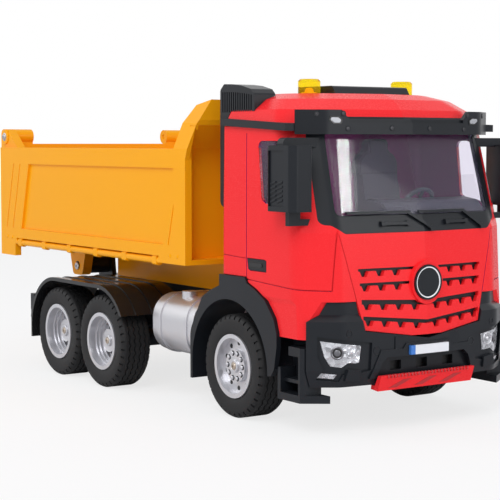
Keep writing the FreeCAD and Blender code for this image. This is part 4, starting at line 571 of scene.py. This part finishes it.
def cross_screw(form, place, radius, height):
    """A domed screw head with a cross recess."""
    arm = screw_segments // 4
    star = [star_tip if k % arm == 0 else (star_valley if k % arm == arm // 2 else star_flank)
            for k in range(screw_segments)]
    rows = [[(1.0, 0.0)] * screw_segments, [(1.0, 0.45)] * screw_segments, [(0.88, 0.8)] * screw_segments,
            [(s * 1.08, 1.0) for s in star], [(s * 0.9, 0.35) for s in star]]
    rings = []
    for row in rows:
        ring = []
        for k, (share, rise) in enumerate(row):
            angle = 2 * math.pi * k / screw_segments
            point = Vector((radius * share * math.cos(angle), radius * share * math.sin(angle), height * rise))
            ring.append(form.verts.new(place @ (point * mm)))
        rings.append(ring)
    for low, high in zip(rings, rings[1:]):
        for k in range(screw_segments):
            after = (k + 1) % screw_segments
            form.faces.new([low[k], low[after], high[after], high[k]])
    form.faces.new(list(reversed(rings[0])))
    form.faces.new(rings[-1])


def wheel_screw(node, body, side, inset):
    """A stepped hub ring with a cross-head screw in its middle."""
    low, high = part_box(node)
    middle = (low + high) / 2
    face = high.y if side > 0 else low.y
    hub = upright(Vector((middle.x, face - side * inset * mm, middle.z)), Vector((0, side, 0)))
    ring, screw = bmesh.new(), bmesh.new()
    lathe(ring, hub_ring_profile, hub, 40)
    cross_screw(screw, hub @ Matrix.Translation((0, 0, hub_screw_lift * mm)), hub_screw_radius, hub_screw_height)
    add_piece(node + "_hub_ring", ring, silver, body)
    add_piece(node + "_screw", screw, brass, body)


# Front rims: capped nuts with a near-black ring of painted shadow round their feet on the hub plate, and
# near-black discs of painted shade for the hand holes round it.
# Rear rims: curved near-black plates of painted shade for the slots in the deep disc.
nut_ring = 6.6
nut_count = 10
nut_profile = [(-0.4, 0), (-0.4, 0.95), (0.1, 0.95), (0.22, 0.7), (0.22, 0)]
nut_shadow_profile = [(-0.85, 0.8), (-0.85, 1.4), (-0.64, 1.4), (-0.64, 0.8), (-0.85, 0.8)]
hole_probe_ring = 11.2
hole_ring = 11.4
hole_shade_profile = [(-0.3, 0), (-0.3, 1.2), (0.05, 1.2), (0.05, 0)]
slot_count = 4
slot_ring = 9.2
slot_probe_ring = 7.6
slot_half_angle = 0.3
slot_half_width = 1.25
slot_points = 13
slot_sink = 0.2
slot_height = 0.26


def rim_place(node, side, ring, angle):
    middle = box_middle(node) / mm
    return from_side(node, middle.x + ring * math.cos(angle), middle.z + ring * math.sin(angle), side)


def front_rim_trim(node, body, side):
    nuts, shade_marks = bmesh.new(), bmesh.new()
    middle = box_middle(node)
    for k in range(nut_count):
        angle = 2 * math.pi * k / nut_count
        place, normal = rim_place(node, side, nut_ring, angle)
        lathe(nuts, nut_profile, upright(place, normal), 14)
        lathe(shade_marks, nut_shadow_profile, upright(place, normal), 16)
        face, normal = rim_place(node, side, hole_probe_ring, angle)
        between = angle + math.pi / nut_count
        place = middle + Vector((math.cos(between), 0, math.sin(between))) * hole_ring * mm
        place.y = face.y
        lathe(shade_marks, hole_shade_profile, upright(place, normal), 18)
    add_piece(node + "_nuts", nuts, silver, body)
    # Near-black painted shadow round the nuts' feet and painted shade in the hand holes.
    add_piece(node + "_nut_and_hole_shade", shade_marks, shadow_black, body)


def rear_rim_trim(node, body, side):
    middle = box_middle(node)
    form = bmesh.new()
    for k in range(slot_count):
        turn = math.pi / slot_count + k * 2 * math.pi / slot_count
        place, normal = rim_place(node, side, slot_probe_ring, turn)
        rows = []
        for ring in (slot_ring - slot_half_width, slot_ring + slot_half_width):
            angles = [turn + slot_half_angle * (2 * i / (slot_points - 1) - 1) for i in range(slot_points)]
            rows.append([Vector((middle.x + ring * mm * math.cos(a), place.y - side * slot_sink * mm,
                                 middle.z + ring * mm * math.sin(a))) for a in angles])
        prism(form, rows[0] + rows[1][::-1], Vector((0, side * slot_height * mm, 0)))
    # Near-black plates of painted shade for the slots.
    add_piece(node + "_slots", form, shadow_black, body)


# Sun visor: ringed screws and a slanted marker lamp in a frame on each side
visor_screws = [(52.8, 152.0), (39.6, 152.2), (37.0, 145.1), (12.0, 145.4)]
visor_ring_profile = [(-0.2, 1.0), (-0.2, 1.35), (0.2, 1.35), (0.28, 1.2), (0.2, 1.0), (-0.2, 1.0)]
marker_lamp = [(46.4, 150.4), (42.6, 150.4), (41.0, 149.2), (41.6, 147.9), (44.9, 147.9), (46.9, 149.3)]
marker_middle = (44.0, 149.2)
marker_rise, marker_frame_rise = 0.4, 0.25
marker_frame_scale = (1.3, 1.5)


def visor_trim():
    heads, rims, lamps, frames = bmesh.new(), bmesh.new(), bmesh.new(), bmesh.new()
    for side in sides:
        for y, z in visor_screws:
            place, normal = from_front("sun_visor", side * y, z)
            cross_screw(heads, upright(place, normal, 0.4), 0.95, 0.35)
            lathe(rims, visor_ring_profile, upright(place, normal), 20)
        front_patch(lamps, "sun_visor", [(side * y, z) for y, z in marker_lamp], marker_rise)
        wide = [(side * (marker_middle[0] + (y - marker_middle[0]) * marker_frame_scale[0]),
                 marker_middle[1] + (z - marker_middle[1]) * marker_frame_scale[1]) for y, z in marker_lamp]
        front_patch(frames, "sun_visor", wide, marker_frame_rise)
    add_piece("visor_screws", heads, dark_head, "truck")
    add_piece("visor_screw_rings", rims, black, "truck")
    ease(lamps, 0.15)
    add_piece("marker_lamps", lamps, marker, "truck")
    add_piece("marker_lamp_frames", frames, gloss_black, "truck")


# Bumper: a near-black plate of painted shade behind its slots, where there is only empty space, and round plugs
# as (across the truck, height, radius)
slot_shade_outline = [(-27.0, 28.4), (27.0, 28.4), (27.0, 36.6), (-27.0, 36.6)]
slot_shade_x = 158.0
slot_shade_depth = 1.2
bumper_plugs = [(45.4, 48.9, 1.7), (30.0, 40.1, 2.2)]


def bumper_trim():
    shade_plate = bmesh.new()
    corners = [(slot_shade_x * mm, y * mm, z * mm) for y, z in slot_shade_outline]
    prism(shade_plate, corners, Vector((slot_shade_depth * mm, 0, 0)))
    ease(shade_plate, 0.3)
    # Painted shade behind the slots.
    add_piece("bumper_slot_shade", shade_plate, shadow_black, "truck")
    form = bmesh.new()
    for side in sides:
        for y, z, radius in bumper_plugs:
            place, normal = from_front("front_bumper", side * y, z)
            profile = [(-0.2, radius - 0.4), (-0.2, radius), (0.15, radius), (0.25, radius - 0.2),
                       (0.15, radius - 0.4), (-0.2, radius - 0.4)]
            lathe(form, profile, upright(place, normal), 28)
    add_piece("bumper_plugs", form, black, "truck")


# Load bed: a small web in each top corner of the headboard's hollow, bossed screws on the ears that carry the
# tailgate, screws on the pivot's ends, and rivets along the foot
gusset = [(59.0, 145.0), (65.5, 145.0), (66.3, 147.6), (60.6, 147.6)]
gusset_sides = (67.4, 68.88)
ear_screw = (-162.3, 142.0)
lug_screw = (-118.7, 61.0)
foot_rivets = [(44.5, 79.3), (52.1, 79.3), (-154.0, 79.0), (-147.4, 79.0)]
boss_profile = [(-0.3, 0), (-0.3, 4.7), (0.5, 4.7), (0.9, 4.3), (0.9, 0)]
boss_height = 0.9
washer_profile = [(-0.2, 0), (-0.2, 2.7), (0.1, 2.7), (0.2, 2.5), (0.2, 0)]
washer_height = 0.15
rivet_profile = [(-0.2, 0), (-0.2, 1.15), (0.15, 1.1), (0.4, 0.8), (0.5, 0.35), (0.52, 0)]


def headboard_gussets():
    form = bmesh.new()
    near, far = gusset_sides
    for side in sides:
        corners = [Vector((x * mm, side * near * mm, z * mm)) for x, z in gusset]
        prism(form, corners, Vector((0, side * (far - near) * mm, 0)))
    add_piece("headboard_gussets", form, orange, "bed")


def bed_screws():
    bosses, heads, rivets = bmesh.new(), bmesh.new(), bmesh.new()
    for side in sides:
        place, normal = from_side("load_bed", *ear_screw, side)
        lathe(bosses, boss_profile, upright(place, normal), 40)
        raised = upright(place + normal * boss_height * mm, normal, 0.5)
        lathe(heads, washer_profile, raised, 28)
        cross_screw(heads, raised @ Matrix.Translation((0, 0, washer_height * mm)), 2.0, 0.8)
        place, normal = from_side("chassis_frame", *lug_screw, side)
        cross_screw(heads, upright(place, normal, 0.2), 2.4, 0.9)
        for x, z in foot_rivets:
            place, normal = from_side("load_bed", x, z, side)
            lathe(rivets, rivet_profile, upright(place, normal), 18)
    add_piece("bed_bosses", bosses, orange, "bed")
    add_piece("bed_screws", heads, steel, "bed")
    add_piece("bed_rivets", rivets, orange, "bed")


# Headlamps: a projector with a near-black ring of painted shade round its dome, a round reflector bowl and two
# small bulbs in each
projector = (50.4, 39.9)
bowl = (43.6, 40.1)
bulbs = [(52.9, 28.7), (55.2, 28.9)]
projector_ring = [(-0.3, 2.3), (-0.3, 3.2), (0.1, 3.2), (0.35, 2.75), (0.1, 2.3), (-0.3, 2.3)]
projector_shade = [(-0.3, 1.5), (-0.3, 2.3), (0.12, 2.3), (0.2, 1.9), (0.12, 1.5), (-0.3, 1.5)]
projector_dome = [(-0.3, 0), (-0.3, 1.5), (0.15, 1.5), (0.34, 1.1), (0.46, 0.5), (0.48, 0)]
bowl_ring = [(-0.3, 2.7), (-0.3, 3.2), (0.15, 3.2), (0.3, 2.95), (0.15, 2.7), (-0.3, 2.7)]
bowl_bulb = [(-0.3, 0), (-0.3, 1.1), (0.1, 1.0), (0.35, 0.6), (0.4, 0)]
bulb_ring = [(-0.2, 0.5), (-0.2, 0.9), (0.15, 0.8), (0.1, 0.5), (-0.2, 0.5)]


def headlamp_trim():
    rings, glass, shades = bmesh.new(), bmesh.new(), bmesh.new()
    for side in sides:
        place = upright(*from_front("headlamps", side * projector[0], projector[1]))
        lathe(glass, projector_ring, place, 32)
        lathe(shades, projector_shade, place, 32)
        lathe(glass, projector_dome, place, 24)
        place = upright(*from_front("headlamps", side * bowl[0], bowl[1]))
        lathe(rings, bowl_ring, place, 32)
        lathe(rings, bowl_bulb, place, 20)
        for y, z in bulbs:
            lathe(rings, bulb_ring, upright(*from_front("headlamps", side * y, z)), 16)
    # A near-black ring of painted shade round each projector's dome.
    add_piece("headlamp_shades", shades, shadow_black, "truck")
    add_piece("headlamp_projectors", glass, dark_steel, "truck")
    add_piece("headlamp_bowls", rings, silver, "truck")


# Door handles: a near-black cup of painted shade in the recess and a lever on it, as (inset, corner radius, rise)
handle_cup = (1.0, 1.7, 0.06)
handle_lever = (1.7, 1.0, 0.45)
handle_sink = 0.6
front_inset_share = 1.6


def rounded(low, high, radius, steps=5):
    """Corner points of a rounded rectangle, in millimetres."""
    points = []
    for x, z, start in ((high[0] - radius, high[1] - radius, 0), (low[0] + radius, high[1] - radius, 90),
                        (low[0] + radius, low[1] + radius, 180), (high[0] - radius, low[1] + radius, 270)):
        for k in range(steps + 1):
            angle = math.radians(start + 90 * k / steps)
            points.append((x + radius * math.cos(angle), z + radius * math.sin(angle)))
    return points


def handle_trim():
    low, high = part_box("door_handles")
    cups, levers = bmesh.new(), bmesh.new()
    for side in sides:
        foot = side * high.y - side * handle_sink * mm
        for form, (inset, radius, rise) in ((cups, handle_cup), (levers, handle_lever)):
            corners = rounded((low.x / mm + inset, low.z / mm + inset),
                              (high.x / mm - inset * front_inset_share, high.z / mm - inset), radius)
            prism(form, [Vector((x * mm, foot, z * mm)) for x, z in corners],
                  Vector((0, side * (handle_sink + rise) * mm, 0)))
    # The cups are painted shade.
    add_piece("handle_cup_shade", cups, shadow_black, "truck")
    ease(levers, 0.2)
    add_piece("handle_levers", levers, gloss_black, "truck")


# Badge ring
badge_height = 71.2
badge_probe_y = 0.5
badge_profile = [(-0.3, 7.0), (-0.3, 8.2), (0.2, 8.2), (0.28, 8.1), (0.28, 7.1), (0.2, 7.0), (-0.3, 7.0)]


def badge_ring():
    form = bmesh.new()
    place, normal = from_front("badge", badge_probe_y, badge_height)
    lathe(form, badge_profile, upright(Vector((place.x, 0, badge_height * mm)), normal), 72)
    add_piece("badge_ring", form, white, "truck")


# Skid plate: slanted stripes in a darker red, painted shade of recessed stripes, and a row of teeth as (across,
# up) outlines from each tooth's corner
stripe_places = [-15.2, 0.9, 16.8]
stripe_width = 5.2
stripe_lean = 8.6
stripe_top = 25.4
stripe_low = 21.6
stripe_rise = 0.12
tooth_pitch = 2.1
tooth_count = 25
tooth_probe_z = 27.2
tooth_corner = Vector((-0.2, -0.6, -0.5))
tooth_outline = ((0, 0), (1.2, 0), (1.0, 1.7), (0.2, 1.7))
tooth_depth = 0.75


def skid_trim():
    stripes, teeth = bmesh.new(), bmesh.new()
    for y in stripe_places:
        corners = [(y, stripe_top), (y + stripe_width, stripe_top), (y + stripe_width - stripe_lean, stripe_low),
                   (y - stripe_lean, stripe_low)]
        front_patch(stripes, "skid_plate", corners, stripe_rise)
    for k in range(tooth_count):
        y = (k - (tooth_count - 1) / 2) * tooth_pitch
        place, normal = from_front("skid_plate", y, tooth_probe_z)
        corner = place + tooth_corner * mm
        prism(teeth, [corner + Vector((0, dy, dz)) * mm for dy, dz in tooth_outline],
              Vector((tooth_depth * mm, 0, 0)))
    # The stripes' darker red is painted shade.
    add_piece("skid_stripes", stripes, dark_red, "truck")
    ease(teeth, 0.12, 1)
    add_piece("skid_teeth", teeth, dark_red, "truck")


# Cab inside: backrest tops with headrests as (across the seat, height), and a hump on the dashboard as
# (along the truck, height)
backrest_middle = 25.5
backrest_inset = 0.8
backrest_depth = 7.5
backrest = [(-13.5, 121.5), (13.5, 121.5), (13.0, 129.0), (9.5, 133.0), (6.8, 133.6), (6.8, 138.8), (5.4, 140.2),
            (-5.4, 140.2), (-6.8, 138.8), (-6.8, 133.6), (-9.5, 133.0), (-13.0, 129.0)]
hump = [(137.0, 100.5), (156.5, 100.5), (155.5, 105.0), (151.0, 109.6), (141.0, 111.0), (137.5, 109.5)]
hump_right = -17
hump_width = 64


def cab_inside():
    low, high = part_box("seats")
    for side, hand in zip(sides, ("right", "left")):
        form = bmesh.new()
        corners = [(low.x + backrest_inset * mm, (side * backrest_middle + y) * mm, z * mm) for y, z in backrest]
        prism(form, corners, Vector((backrest_depth * mm, 0, 0)))
        ease(form, 1.2, 3)
        add_piece("headrest_" + hand, form, grey, "truck")
    form = bmesh.new()
    prism(form, [(x * mm, hump_right * mm, z * mm) for x, z in hump], Vector((0, hump_width * mm, 0)))
    ease(form, 0.8, 3)
    add_piece("dashboard_hump", form, grey, "truck")


# Beacon insides: an orange foot with a small lamp on it
beacon_side = 30.0
beacon_foot = [(0.0, 0), (0.0, 3.6), (0.7, 3.6), (0.9, 3.3), (1.0, 2.1), (2.4, 1.8), (3.0, 1.2), (3.2, 0)]


def beacon_insides():
    low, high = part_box("beacons")
    form = bmesh.new()
    for side in sides:
        lathe(form, beacon_foot, Matrix.Translation(((low.x + high.x) / 2, side * beacon_side * mm, low.z)), 28)
    add_piece("beacon_feet", form, orange, "truck")


# Mirrors: two columns of slanted ribs low on the housing's outer side
rib_columns = (138.2, 143.6)
rib_count = 5
rib_pitch = 2.1
rib_low = 110.2
rib_length = 4.4
rib_lean = 1.2
rib_width = 0.9
rib_rise = 0.45


def mirror_ribs():
    form = bmesh.new()
    for side in sides:
        for x in rib_columns:
            for k in range(rib_count):
                z = rib_low + k * rib_pitch
                corners = [(x, z), (x + rib_length, z + rib_lean), (x + rib_length, z + rib_lean + rib_width),
                           (x, z + rib_width)]
                side_patch(form, "mirrors", corners, side, rib_rise)
    ease(form, 0.12, 1)
    add_piece("mirror_ribs", form, black, "truck")


# Floor: pale, with a white glow where it is seen directly or through glass
floor_half = 4.0
floor_glow = 0.75


def floor():
    mesh = bpy.data.meshes.new("floor")
    half = floor_half
    mesh.from_pydata([(-half, -half, 0), (half, -half, 0), (half, half, 0), (-half, half, 0)], [], [(0, 1, 2, 3)])
    piece = bpy.data.objects.new("floor", mesh)
    material = bpy.data.materials.new("pale_floor")
    material.use_nodes = True
    tree = material.node_tree
    shader = tree.nodes["Principled BSDF"]
    shader.inputs["Base Color"].default_value = (0.9, 0.9, 0.91, 1)
    shader.inputs["Roughness"].default_value = 0.8
    rays = tree.nodes.new("ShaderNodeLightPath")
    glow = tree.nodes.new("ShaderNodeEmission")
    mix = tree.nodes.new("ShaderNodeMixShader")
    seen = math_node(tree, "MAXIMUM", rays.outputs["Is Camera Ray"], rays.outputs["Is Transmission Ray"])
    tree.links.new(math_node(tree, "MULTIPLY", seen, floor_glow), mix.inputs["Fac"])
    tree.links.new(shader.outputs[0], mix.inputs[1])
    tree.links.new(glow.outputs[0], mix.inputs[2])
    tree.links.new(mix.outputs[0], tree.nodes["Material Output"].inputs["Surface"])
    mesh.materials.append(material)
    bpy.context.collection.objects.link(piece)


def wheels():
    for place in ("front", "middle", "rear"):
        for hand, side in zip(("right", "left"), sides):
            end = place + "_" + hand
            body, rim = "wheel_" + end, "rim_" + end
            tyre("tyre_" + end, body)
            wheel_screw(rim, body, side, hub_insets[place])
            if place == "front":
                front_rim_trim(rim, body, side)
            else:
                rear_rim_trim(rim, body, side)


photo_camera()
studio()
floor()
dress_nodes()
wheels()
visor_trim()
bumper_trim()
bed_screws()
headboard_gussets()
headlamp_trim()
handle_trim()
badge_ring()
skid_trim()
cab_inside()
beacon_insides()
mirror_ribs()
bpy.context.scene.view_settings.view_transform = "Standard"
